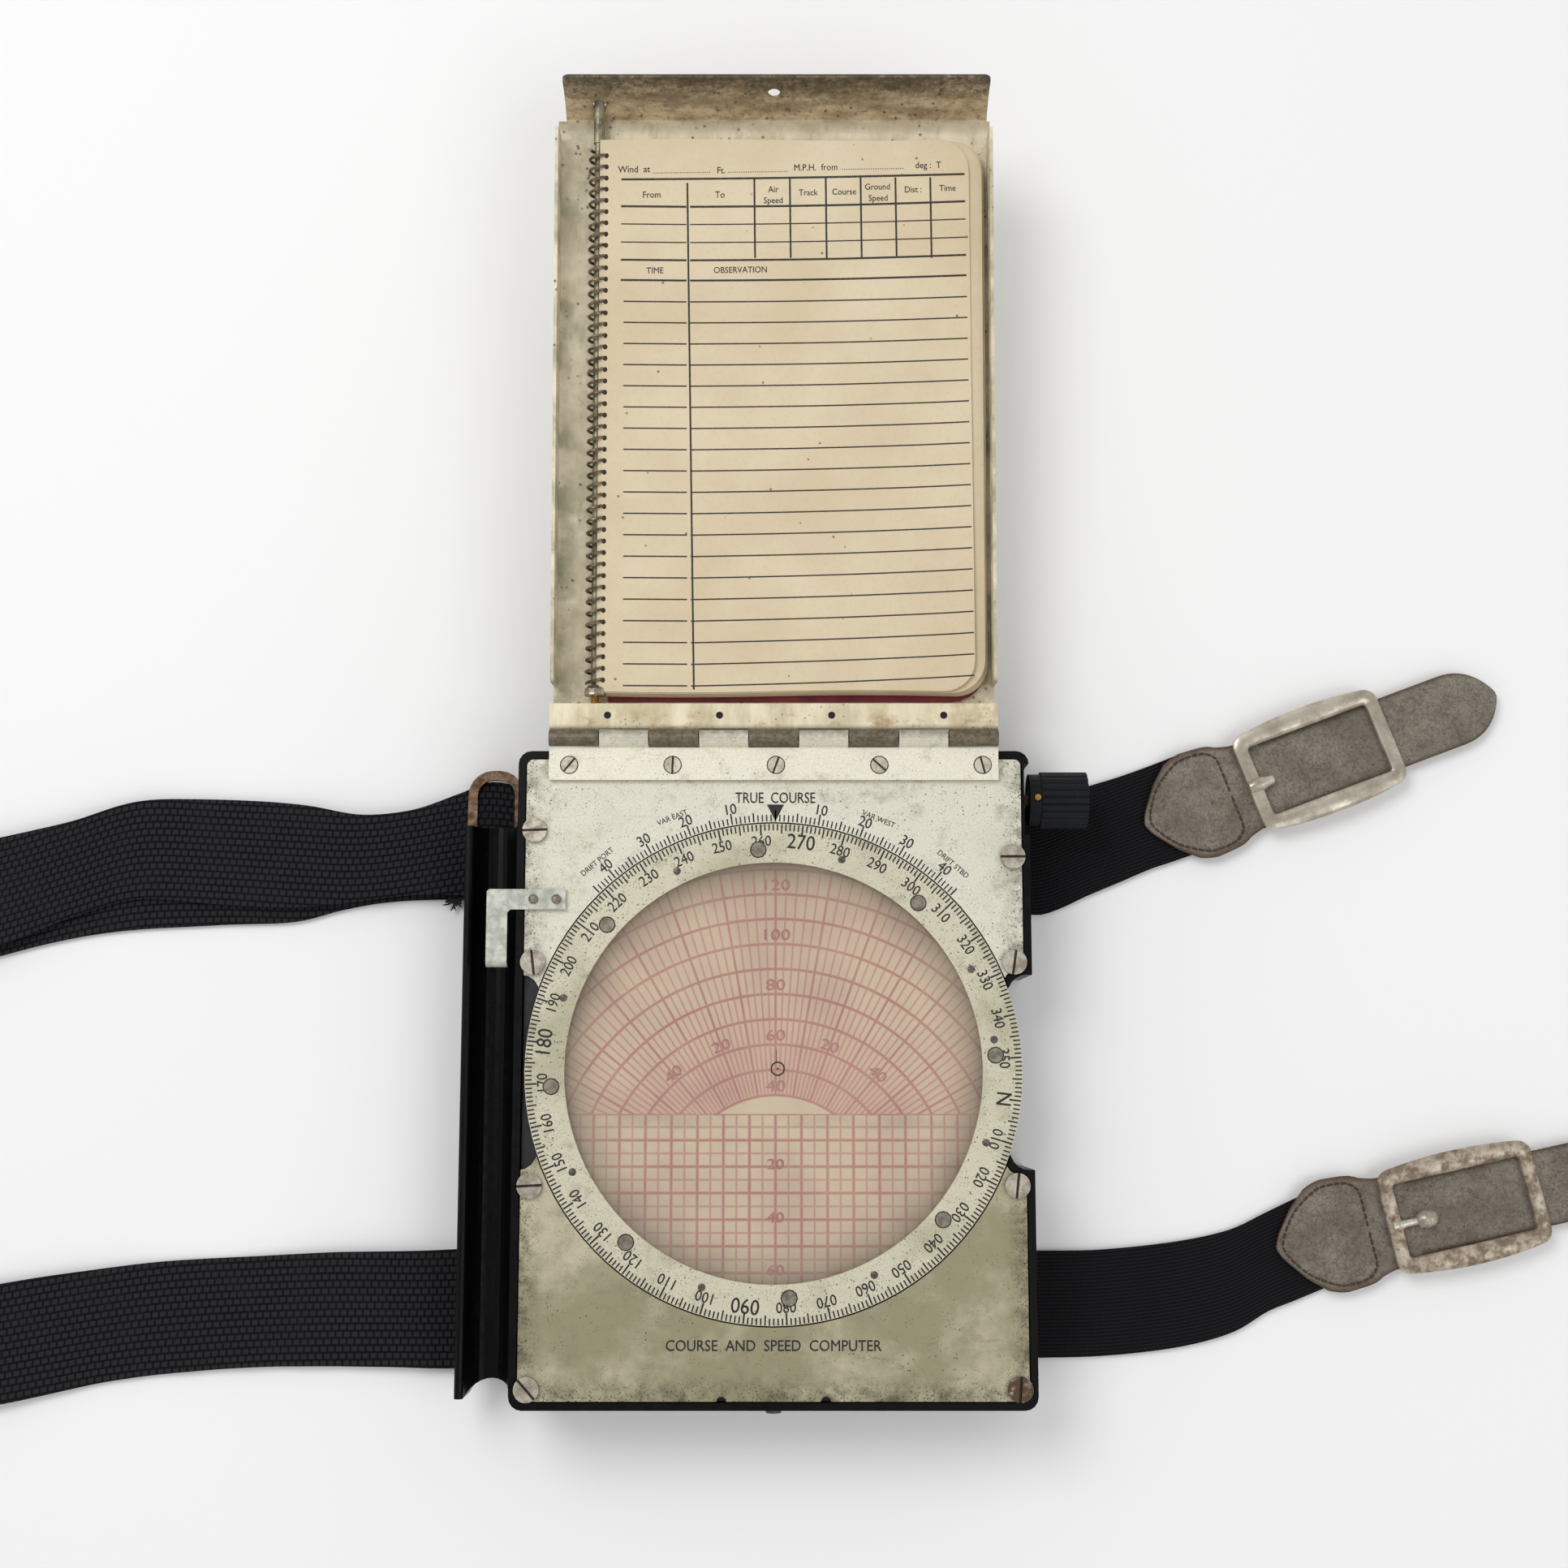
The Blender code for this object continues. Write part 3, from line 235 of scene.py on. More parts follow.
def lid_sheet():
    """Stained lid sheet: dusty cream base, brown mottled lip with painted shade along its bend, and a
    blackened, chipped free edge.
    """
    look = Look("lid_sheet", Metallic=0.1)
    y = look.axis("Y")
    sides = look.step(look.absolute(look.axis("X")), 0.046, 0.0595)
    look.base(look.blotch(0.35, 0.65, 14, 6.0, 0.65), (236, 225, 200), (208, 197, 168))
    look.tint(look.blotch(0.5, 0.72, 4, 6.0, 0.7, (1, 0.4, 1), 0.9, end=0.5), (156, 146, 112))
    look.tint(look.times(sides, look.blotch(0.42, 0.66, 9, 5.0, shift=1.7, end=0.6)), (134, 136, 106))
    lip = look.mix(look.blotch(0.35, 0.65, 6, 6.0, 0.7, (0.4, 1, 1)), (206, 184, 146), (142, 124, 92))
    lip = look.mix(look.blotch(0.5, 0.68, 1.6, 6.0, 0.75, shift=2.2, end=0.65), lip, (88, 74, 54))
    look.tint(look.step(y, 0.2608, 0.2640), lip)
    rough_y = look.add(y, look.times(look.noise(2.2, 6.0, 0.8, shift=0.4), 0.0075))
    look.tint(look.times(look.step(rough_y, 0.2698, 0.2738), 0.94), (58, 51, 43))
    # Painted shade: a darker band along the bend where the sheet turns up into the lip.
    crease = look.times(look.step(y, 0.2585, 0.2612), look.step(y, 0.2614, 0.2640, 1.0, 0.0), 0.4)
    look.tint(crease, (128, 116, 86))
    look.tint(look.times(look.specks(2.6, 0.22, 0.55), 0.75), (64, 54, 42))
    low = look.step(y, 0.099, 0.128, 0.4, 0.0)
    look.tint(look.times(low, look.blotch(0.35, 0.65, 5, 5.0, shift=3.1)), (122, 112, 84))
    look.sheen(5, 4.0, 0.5, 0.72)
    return look.finish(look.noise(0.5, 5.0, 0.7), 0.06, 0.5)


BAR_HOLES = (-44.5, -14.5, 15.5, 45.5)

# Point that the chart's arcs and drift lines run round, and the step between arcs
CHART_X = 0.5 * MM
CHART_Y = -32.2 * MM
ARC_STEP = 6.667 * MM


def hinge_bar_look():
    """Cream hinge metal with yellow-brown stains, dark knuckles and four shaded holes."""
    look = Look("hinge_bar", Metallic=0.2)
    x, y = look.axis("X"), look.axis("Y")
    look.base(look.blotch(0.35, 0.65, 9, 5.0, 0.65, (1, 0.3, 1)), (236, 225, 196), (202, 190, 156))
    stain = look.times(look.blotch(0.48, 0.66, 8, 5.0, 0.7, (1, 1.4, 1), 0.5), look.step(y, 0.0985, 0.0925))
    right = look.times(look.step(x, 0.030, 0.057, 0.0, 0.55), look.blotch(0.38, 0.6, 5, 5.0))
    look.tint(look.times(look.most(stain, right), 0.75), (156, 118, 54))
    olive = look.mix(look.blotch(0.35, 0.65, 1.5, 5.0, 0.7), (112, 101, 80), (66, 58, 44))
    look.tint(look.times(look.step(y, 0.0929, 0.0911), 0.96), olive)
    flat = look.node("CombineXYZ", x, y, 0.0)
    holes = [look.step(look.distance(flat, (middle * MM, 95.2 * MM, 0.0)), 0.92 * MM, 1.02 * MM, 1.0, 0.0)
             for middle in BAR_HOLES]
    look.tint(look.most(*holes), (26, 22, 18))
    look.tint(look.times(look.specks(1.4, 0.22, 0.4), 0.7), (52, 44, 34))
    look.sheen(2, 4.0, 0.38, 0.58)
    return look.finish(look.noise(0.5, 4.0, 0.7, (0.15, 1, 1)), 0.04, 0.5)


def chart_look():
    """Printed chart: speed arcs and drift lines above, a square grid below, and a painted shadow of the
    ring's edge darkening it towards the ring.
    """
    look = Look("chart", Roughness=0.7)
    x = look.minus(look.axis("X"), CHART_X)
    y = look.axis("Y")
    up = look.minus(y, CHART_Y)
    radius = look.node("VectorMath", look.node("CombineXYZ", x, up, 0.0), operation="LENGTH", output=1)
    turn = look.math("ARCTAN2", x, up)
    divide = -10.4 * MM
    cell = 3.43 * MM

    def lines(value, spacing, half, soft, origin=0.0):
        """1 on each line of a family, fading to 0 over the soft width."""
        away = look.math("PINGPONG", look.minus(value, origin), spacing / 2)
        return look.step(away, half * MM, (half + soft) * MM, 1.0, 0.0)

    def drift_lines(degrees, half, reach, strength):
        away = look.times(look.math("PINGPONG", turn, radians(degrees)), radius)
        return look.step(away, half * MM, reach * MM, strength, 0.0)

    def grid_lines(spacing, half, soft):
        return look.most(lines(x, spacing, half, soft), lines(y, spacing, half, soft, divide))

    fan = look.most(drift_lines(1, 0.08, 0.42, 0.72), drift_lines(5, 0.16, 0.5, 1.0),
                    lines(radius, ARC_STEP, 0.17, 0.4))
    fan = look.times(fan, look.step(radius, 4 * ARC_STEP - 0.5 * MM, 4 * ARC_STEP - 0.2 * MM),
                     look.step(radius, 13 * ARC_STEP, 13.1 * ARC_STEP, 1.0, 0.0))
    grid = look.most(look.times(grid_lines(cell, 0.08, 0.36), 0.7), grid_lines(2 * cell, 0.16, 0.42))
    above = look.step(y, divide - 0.1 * MM, divide + 0.1 * MM)
    ink = look.mix(above, look.node("CombineColor", grid, grid, grid),
                   look.node("CombineColor", fan, fan, fan))
    look.base(look.blotch(0.35, 0.65, 30, 4.0, 0.6), (224, 210, 182), (216, 196, 172))
    warm = look.step(radius, 5 * ARC_STEP, 9 * ARC_STEP, 0.5, 0.16)
    warm = look.times(look.step(radius, 4 * ARC_STEP, 4.1 * ARC_STEP), warm, above)
    look.tint(warm, (214, 150, 146))
    seam = look.step(look.absolute(look.minus(y, divide - 2.2 * MM)), 1.2 * MM, 2.4 * MM, 0.34, 0.0)
    look.tint(look.times(seam, look.blotch(0.35, 0.6, 9, 4.0, 0.6, (0.5, 1, 1))), (112, 112, 98))
    look.tint(look.times(ink, look.blotch(0.25, 0.7, 22, 3.0, 0.5, start=1.0, end=0.78)), (170, 44, 78))
    # Painted shadow of the ring's edge: the chart darkens towards the ring.
    middle = look.distance(look.node("CombineXYZ", look.axis("X"), y, 0.0), tuple(RING_CENTRE))
    look.tint(look.step(middle, 43 * MM, 57 * MM, 0.0, 0.6), (74, 58, 44))
    return look.finish(look.noise(0.4, 3.0), 0.02, 0.3)


def window_look():
    """Frosted window: a milky film over the chart, with stains and scratches."""
    look = Look("window", Alpha=0.2, Specular_IOR_Level=0.4)
    look.base(look.blotch(0.35, 0.65, 18, 5.0), (222, 208, 182), (200, 184, 166))
    look.sheen(5, 5.0, 0.22, 0.4)
    return look.finish(look.noise(1.0, 5.0, 0.7, (1, 0.3, 1)), 0.01, 0.4)


def ink_look(name, tone, rough, patchy):
    """Filled or printed lettering, a little uneven."""
    look = Look(name, Roughness=rough)
    look.base(look.blotch(0.45, 0.75, 0.8, 3.0, end=patchy), tone, [c + (200 - c) * 0.45 for c in tone])
    return look.finish(look.noise(0.3, 2.0), 0.01, 0.2)


def paper_look():
    """Aged paper with soft blotches, fibres and brown specks."""
    look = Look("aged_paper", Roughness=0.85, Specular_IOR_Level=0.2)
    look.base(look.blotch(0.3, 0.7, 32), (222, 207, 178), (212, 195, 163))
    look.tint(look.blotch(0.45, 0.8, 1.2, 4.0, 0.7, end=0.22), (188, 168, 132))
    look.tint(look.times(look.specks(5.5, 0.09, 0.6), 0.75), (96, 66, 40))
    return look.finish(look.noise(0.5), 0.03, 0.4)


def webbing_look():
    """Black cotton webbing: staggered rows of raised threads, painted lighter on their crowns and darker
    between them as light and shade, with dusty patches.
    """
    look = Look("webbing", Roughness=0.92, Specular_IOR_Level=0.15)
    along = look.math("DIVIDE", look.attribute("along"), 2.1 * MM)
    across = look.math("DIVIDE", look.attribute("across"), 1.9 * MM)
    odd = look.times(look.math("FLOORED_MODULO", look.math("FLOOR", across), 2.0), 0.5)
    u = look.minus(look.math("FRACT", look.add(along, odd)), 0.5)
    v = look.minus(look.math("FRACT", across), 0.5)
    weave = look.times(look.step(look.absolute(u), 0.26, 0.5, 1.0, 0.0),
                       look.step(look.absolute(v), 0.22, 0.5, 1.0, 0.0))
    tone = look.add(weave, look.times(look.noise(0.5, 3.0), 0.3))
    # Painted light and shade: thread crowns lighter, the gaps between threads darker.
    look.base(look.step(tone, 0.1, 1.1), (13, 12, 14), (43, 41, 45))
    look.tint(look.blotch(0.45, 0.7, 9, end=0.2), (40, 39, 42))
    thread = look.times(look.math("SINE", look.times(v, 22.0)), 0.05)
    return look.finish(look.add(weave, thread, look.times(look.noise(0.25, 3.0), 0.4)), 0.45, 0.9)


def elastic_look():
    """Black elastic with fine ribs along its length and puckers across."""
    look = Look("elastic", Roughness=0.85, Specular_IOR_Level=0.18)

    def ribs(fact, pitch, strength):
        return look.times(look.math("SINE", look.times(look.attribute(fact), 2 * pi / pitch)), strength)

    height = look.add(ribs("across", 0.95 * MM, 0.7), ribs("along", 0.8 * MM, 0.25))
    # Painted light and shade: rib crests lighter, the troughs between ribs darker.
    look.base(look.step(height, -0.9, 0.9), (6, 5, 7), (28, 26, 30))
    return look.finish(look.add(height, look.noise(0.3, 3.0)), 0.22, 0.9)


def leather_look():
    """Grey pebbled leather, finely wrinkled, with worn brown edges."""
    look = Look("grey_leather", Specular_IOR_Level=0.25)
    look.base(look.blotch(0.35, 0.65, 11, 5.0, 0.65), (138, 131, 119), (114, 106, 94))
    pebble = look.cells(0.7)
    # Painted shade: darker in the grooves between the pebbles.
    look.tint(look.step(pebble, 0.25, 0.6, 0.0, 0.3), (84, 77, 67))
    wrinkle = look.noise(1.5, 5.0, 0.7, (1, 1, 1), 0.6, 1.0)
    crease = look.times(look.step(wrinkle, 0.54, 0.57), look.step(wrinkle, 0.60, 0.57, 0.0, 0.5))
    # Painted shade: darker along the wrinkle creases.
    look.tint(crease, (80, 70, 58))
    look.tint(look.step(look.cells(3.4, 0.5), 0.05, 0.1, 0.7, 0.0), (62, 48, 36))
    look.tint(look.step(look.attribute("across"), 0.86, 1.0, 0.0, 0.85), (84, 60, 42))
    look.sheen(4, 4.0, 0.55, 0.78)
    return look.finish(look.minus(look.times(pebble, -0.6), crease), 0.14, 0.7)


def screw_look(name, light, dark, slot_floor, rust_share):
    """Worn screw heads with rust in patches, painted shade in the slot, and the lower right head browner."""
    look = Look(name, Metallic=0.55)
    look.base(look.blotch(0.35, 0.65, 3, 5.0, 0.7), light, dark)
    corner = look.step(look.distance(look.at, (0.0636, -0.0804, 0.031)), 0.006, 0.003)
    rust = look.most(look.times(corner, look.blotch(0.3, 0.5, 2.6, 4.0, 0.7)),
                     look.blotch(0.6, 0.75, 4, 5.0, 0.7, shift=1.3, end=rust_share))
    look.tint(rust, (86, 66, 46))
    # Painted shade: dark in the slot, below its rim.
    look.tint(look.step(look.axis("Z"), slot_floor, slot_floor + 0.25 * MM, 0.93, 0.0), (30, 26, 20))
    look.sheen(1.5, 4.0, 0.34, 0.55)
    return look.finish(look.noise(0.5, 4.0, 0.7, (1, 0.2, 1)), 0.05, 0.6)


def socket_look():
    """Bright dome nut with a brass thread showing at its hinge end."""
    look = Look("socket", Metallic=0.9, Roughness=0.32)
    y = look.axis("Y")
    brass = look.step(y, 0.1018, 0.1010)
    look.base(look.blotch(0.35, 0.65, 1.5), (196, 190, 178), (128, 118, 104))
    look.tint(brass, (176, 134, 66))
    thread = look.math("SINE", look.times(y, 2 * pi / (0.6 * MM)))
    return look.finish(look.times(brass, thread), 0.1, 0.8)


def crimson_look():
    """Crimson card cover in blotchy tones."""
    look = Look("crimson", Roughness=0.75)
    look.base(look.blotch(0.35, 0.7, 6, 5.0), (128, 36, 52), (96, 26, 40))
    return look.finish(look.noise(0.5), 0.05, 0.5)


# ---------------- geometry


def link(name, data):
    """New object in the scene."""
    item = bpy.data.objects.new(name, data)
    bpy.context.scene.collection.objects.link(item)
    return item


def angles(count):
    """Evenly spaced angles round a full turn."""
    return [2 * pi * i / count for i in range(count)]


def face_out(data):
    """Turns a mesh's faces outwards and joins points that coincide."""
    work = bmesh.new()
    work.from_mesh(data)
    bmesh.ops.remove_doubles(work, verts=work.verts, dist=1e-8)
    bmesh.ops.recalc_face_normals(work, faces=work.faces)
    work.to_mesh(data)
    work.free()


class Shapes:
    """Gathers closed solids into one mesh. Outlines run counter-clockwise, in metres."""

    def __init__(self):
        self.points = []
        self.faces = []

    def prism(self, outline, low, high, place=None):
        count = len(outline)
        first = len(self.points)
        corners = [Vector((x, y, z)) for z in (low, high) for x, y in outline]
        self.points += [place @ c if place else c for c in corners]
        self.faces.append([first + i for i in reversed(range(count))])
        self.faces.append([first + count + i for i in range(count)])
        for i in range(count):
            j = (i + 1) % count
            self.faces.append([first + i, first + j, first + count + j, first + count + i])

    def bar(self, x0, x1, y0, y1, low, high, place=None):
        self.prism([(x0, y0), (x1, y0), (x1, y1), (x0, y1)], low, high, place)

    def ring(self, radius, width, low, high, centre, steps):
        loops = []
        for a in angles(steps):
            loops.append([(centre[0] + r * cos(a), centre[1] + r * sin(a), z)
                          for r, z in ((radius - width / 2, low), (radius + width / 2, low),
                                       (radius + width / 2, high), (radius - width / 2, high))])
        self.loft(loops, True)

    def loft(self, loops, closed=False):
        """Joins a row of loops with the same number of points, capped unless closed."""
        first = len(self.points)
        count = len(loops[0])
        for loop in loops:
            self.points += [Vector(p) for p in loop]
        rows = len(loops)
        for j in range(rows if closed else rows - 1):
            k = (j + 1) % rows
            for i in range(count):
                n = (i + 1) % count
                self.faces.append([first + j * count + i, first + j * count + n,
                                   first + k * count + n, first + k * count + i])
        if not closed:
            self.faces.append([first + i for i in reversed(range(count))])
            self.faces.append([first + (rows - 1) * count + i for i in range(count)])

    def tube(self, line, radius, sides=6):
        """Round tube along a line of points, of one radius or one for each point."""
        loops = []
        side = None
        for i, p in enumerate(line):
            ahead = (line[min(i + 1, len(line) - 1)] - line[max(i - 1, 0)]).normalized()
            if side is None:
                side = ahead.orthogonal().normalized()
            side = (side - ahead * side.dot(ahead)).normalized()
            other = ahead.cross(side)
            r = radius[i] if isinstance(radius, list) else radius
            loops.append([p + (side * cos(t) + other * sin(t)) * r for t in angles(sides)])
        self.loft(loops)

    def lettering(self, text, height, place, bold=0.0, wide=1.0):
        """Text of that cap height, centred on the place's origin, its strokes widened by twice bold."""
        curve = bpy.data.curves.new("letters", "FONT")
        curve.body = text
        curve.align_x = "CENTER"
        curve.align_y = "CENTER"
        curve.size = height / 0.73
        curve.resolution_u = 3
        curve.extrude = INK / 2
        item = link("letters", curve)
        bpy.context.view_layer.update()
        mesh = bpy.data.meshes.new_from_object(item.evaluated_get(bpy.context.evaluated_depsgraph_get()))
        for shift in (-bold, bold) if bold else (0.0,):
            first = len(self.points)
            move = (place @ Matrix.Translation((shift, shift, shift * 0.02))
                    @ Matrix.Diagonal((wide, 1.0, 1.0, 1.0)))
            self.points += [move @ v.co for v in mesh.vertices]
            self.faces += [[first + i for i in p.vertices] for p in mesh.polygons]
        bpy.data.objects.remove(item)
        bpy.data.curves.remove(curve)
        bpy.data.meshes.remove(mesh)

    def mesh(self, name, smooth=False):
        data = bpy.data.meshes.new(name)
        data.from_pydata([tuple(p) for p in self.points], [], self.faces)
        face_out(data)
        if smooth:
            data.polygons.foreach_set("use_smooth", [True] * len(data.polygons))
            data.set_sharp_from_angle(angle=radians(42))
        return data

    def piece(self, name, body, look, slot, *stands_for, smooth=False):
        """Adds the gathered solids to the scene as one piece."""
        return piece(name, self.mesh(name, smooth), body, look, slot, *stands_for)


def piece(name, data, body, look, slot, *stands_for):
    """Adds a mesh to the scene as a piece that rides on a body."""
    item = link(name, data)
    data.materials.append(look)
    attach(item, body)
    if stands_for:
        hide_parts(*stands_for)
    return item


def skin(name, top, bottom, facts=None):
    """Closed solid between two grids of points, rows by columns."""
    rows, columns = len(top), len(top[0])
    points = [p for grid in (top, bottom) for row in grid for p in row]
    low = rows * columns
    faces = []
    for j in range(rows - 1):
        for i in range(columns - 1):
            a = j * columns + i
            quad = [a, a + 1, a + columns + 1, a + columns]
            faces += [quad, [low + q for q in reversed(quad)]]
    rim = list(range(columns)) + [j * columns + columns - 1 for j in range(1, rows)]
    rim += [(rows - 1) * columns + i for i in range(columns - 2, -1, -1)]
    rim += [j * columns for j in range(rows - 2, 0, -1)]
    for a, b in zip(rim, rim[1:] + rim[:1]):
        faces.append([b, a, low + a, low + b])
    data = bpy.data.meshes.new(name)
    data.from_pydata([tuple(p) for p in points], [], faces)
    work = bmesh.new()
    work.from_mesh(data)
    bmesh.ops.recalc_face_normals(work, faces=work.faces)
    work.to_mesh(data)
    work.free()
    for fact, values in (facts or {}).items():
        layer = data.attributes.new(fact, "FLOAT", "POINT")
        layer.data.foreach_set("value", values + values)
    data.polygons.foreach_set("use_smooth", [True] * len(data.polygons))
    data.set_sharp_from_angle(angle=radians(60))
    return data


def turned_x(shapes, profile, centre, steps):
    """Solid turned about a line along X, from (x, radius) pairs."""
    shapes.loft([[centre + Vector((x, radius * cos(a), radius * sin(a))) for a in angles(steps)]
                 for x, radius in profile])


def dome(shapes, place, radius, height):
    """Low rounded rivet head standing on a face."""
    shapes.loft([[place @ Vector((radius * share * cos(a), radius * share * sin(a), height * up))
                  for a in angles(20)]
                 for share, up in ((1.0, 0.0), (1.0, 0.35), (0.86, 0.72), (0.55, 0.94), (0.2, 1.0))])


def smooth_route(points, gap):
    """Evenly spaced points on a smooth curve through a route, with the length at each."""
    pts = np.array(points, float)
    padded = np.vstack([2 * pts[0] - pts[1], pts, 2 * pts[-1] - pts[-2]])
    fine = []
    for i in range(1, len(padded) - 2):
        p0, p1, p2, p3 = padded[i - 1:i + 3]
        for t in np.linspace(0, 1, 24, endpoint=False):
            fine.append(0.5 * (2 * p1 + (p2 - p0) * t + (2 * p0 - 5 * p1 + 4 * p2 - p3) * t * t
                               + (3 * p1 - p0 - 3 * p2 + p3) * t ** 3))
    fine.append(pts[-1])
    fine = np.array(fine)
    run = np.concatenate([[0], np.cumsum(np.linalg.norm(np.diff(fine, axis=0), axis=1))])
    count = int(run[-1] / gap) + 1
    at = np.linspace(0, run[-1], count)
    return np.stack([np.interp(at, run, fine[:, k]) for k in range(2)], 1), at


# ---------------- stage


SKY_SIDES = 0.68
SKY_TOP = 0.34


def make_stage():
    """Pale floor, soft lights and the camera at the photograph's angle."""
    size = 1.6
    floor = bpy.data.meshes.new("floor")
    floor.from_pydata([(-size, -size, 0), (size, -size, 0), (size, size, 0), (-size, size, 0)], [],
                      [(0, 1, 2, 3)])
    floor.materials.append(Look("floor", Roughness=0.9, Base_Color=(246, 246, 246)).material)
    link("floor", floor)
    world = bpy.data.worlds.new("studio")
    world.use_nodes = True
    sky = world.node_tree
    sky.nodes["Background"].inputs["Color"].default_value = (1.0, 1.0, 1.0, 1.0)
    direction = sky.nodes.new("ShaderNodeTexCoord")
    split = sky.nodes.new("ShaderNodeSeparateXYZ")
    dim = sky.nodes.new("ShaderNodeMapRange")
    for name, value in (("From Min", 0.75), ("From Max", 0.95), ("To Min", SKY_SIDES), ("To Max", SKY_TOP)):
        dim.inputs[name].default_value = value
    sky.links.new(direction.outputs["Generated"], split.inputs["Vector"])
    sky.links.new(split.outputs["Z"], dim.inputs["Value"])
    sky.links.new(dim.outputs["Result"], sky.nodes["Background"].inputs["Strength"])
    bpy.context.scene.world = world
    for name, place, size, power in (("key", (-0.5, 0.55, 1.1), 0.7, 6.0),
                                     ("fill", (0.7, -0.3, 1.2), 0.9, 3.6)):
        lamp = bpy.data.lights.new(name, "AREA")
        lamp.shape = "DISK"
        lamp.size = size
        lamp.energy = power
        item = link(name, lamp)
        item.location = place
        item.rotation_euler = (Vector((0, 0.06, 0)) - Vector(place)).to_track_quat("-Z", "Y").to_euler()
    camera = bpy.data.cameras.new("camera")
    camera.lens = 49.44
    camera.sensor_width = 36.0
    camera.clip_start = 0.01
    view = link("camera", camera)
    view.location = (2.748 * MM, -2.461 * MM, 0.6)
    view.rotation_euler = (radians(7.92), 0.0, 0.0)
    bpy.context.scene.camera = view
    bpy.context.scene.view_settings.view_transform = "Standard"


# ---------------- the face

HEADING = 263.1
SCALE_TURN = 0.4
BOLD = 0.035 * MM


def at(x, y, z=0.0):
    return Matrix.Translation((x, y, z))


def on_ring(degrees, radius, height=0.0):
    """Frame on the dial, clockwise from the top, with its Y axis pointing outwards."""
    return (Matrix.Translation(RING_CENTRE + Vector((0, 0, FACE_Z + height)))
            @ Matrix.Rotation(-radians(degrees), 4, "Z") @ at(0.0, radius))


def dial_ticks(shapes, degrees, turn, base, lengths, halves):
    """Ticks from a base radius; lengths and half widths are for every 10, every 5 and the other degrees."""
    for degree in degrees:
        rank = 0 if degree % 10 == 0 else 1 if degree % 5 == 0 else 2
        near, far = sorted((0.0, lengths[rank] * MM))
        half = halves[rank] * MM
        shapes.bar(-half, half, near, far, 0.0, INK, on_ring(degree + turn, base * MM))


def dial_word(shapes, text, height, degrees, radius, bold=BOLD, wide=0.9):
    """Lettering on the dial's face, its height and radius in mm."""
    shapes.lettering(text, height * MM, on_ring(degrees, radius * MM, INK / 2), bold, wide)


def make_ring_marks():
    """Degree ticks, numbers and rivets of the turning ring."""
    ticks = Shapes()
    dial_ticks(ticks, range(360), -HEADING, 65.25, (-3.0, -2.5, -1.75), (0.23, 0.20, 0.20))
    ticks.piece("ring_ticks", "rose", BLACK_INK, "face_metal")
    numbers = Shapes()
    for degree in range(0, 360, 10):
        text = "N" if degree == 0 else f"{degree:03d}"
        dial_word(numbers, text, 2.9 if degree % 90 else 4.1, degree - HEADING, 60.6)
    numbers.piece("ring_numbers", "rose", BLACK_INK, "face_metal")
    rivets = Shapes()
    for degree in (18, 63, 108.5, 153.5, 198.5, 243.5, 289, 334, 82):
        dome(rivets, on_ring(degree, 58.6 * MM), 1.0 * MM, 0.25 * MM)
    rivets.piece("ring_rivets", "rose", STUD_DARK, "dark_metal", smooth=True)


def make_plate_marks():
    """Variation scale, index and legends on the upper plate."""
    marks = Shapes()
    dial_ticks(marks, range(-45, 46), SCALE_TURN, 65.95, (3.0, 2.4, 1.8), (0.21, 0.21, 0.18))
    marks.prism([(-2.3 * MM, 4.6 * MM), (0.0, 0.1 * MM), (2.3 * MM, 4.6 * MM)], 0.0, INK,
                on_ring(SCALE_TURN, 65.9 * MM))
    for degree in (10, 20, 30, 40):
        for side in (-1, 1):
            dial_word(marks, str(degree), 2.9, side * degree + SCALE_TURN, 70.0, wide=0.92)
    for degree, up, word in ((-22.4, 72.2, "VAR EAST"), (-40.8, 72.4, "DRIFT PORT"),
                             (22.4, 72.2, "VAR WEST"), (40.8, 72.4, "DRIFT STBD")):
        dial_word(marks, word, 1.5, degree + SCALE_TURN, up, BOLD / 2, 0.95)
    marks.lettering("TRUE  COURSE", 3.0 * MM, at(0.45 * MM, 73.0 * MM, FACE_Z + INK / 2), BOLD, 0.77)
    marks.piece("plate_scale", "case", BLACK_INK, "face_metal")
    legend = Shapes()
    place = at(0.0, -69.6 * MM, FACE_Z + INK / 2)
    legend.lettering("COURSE  AND  SPEED  COMPUTER", 2.9 * MM, place, BOLD, 0.9)
    legend.piece("plate_legend", "case", BLACK_INK, "face_metal")


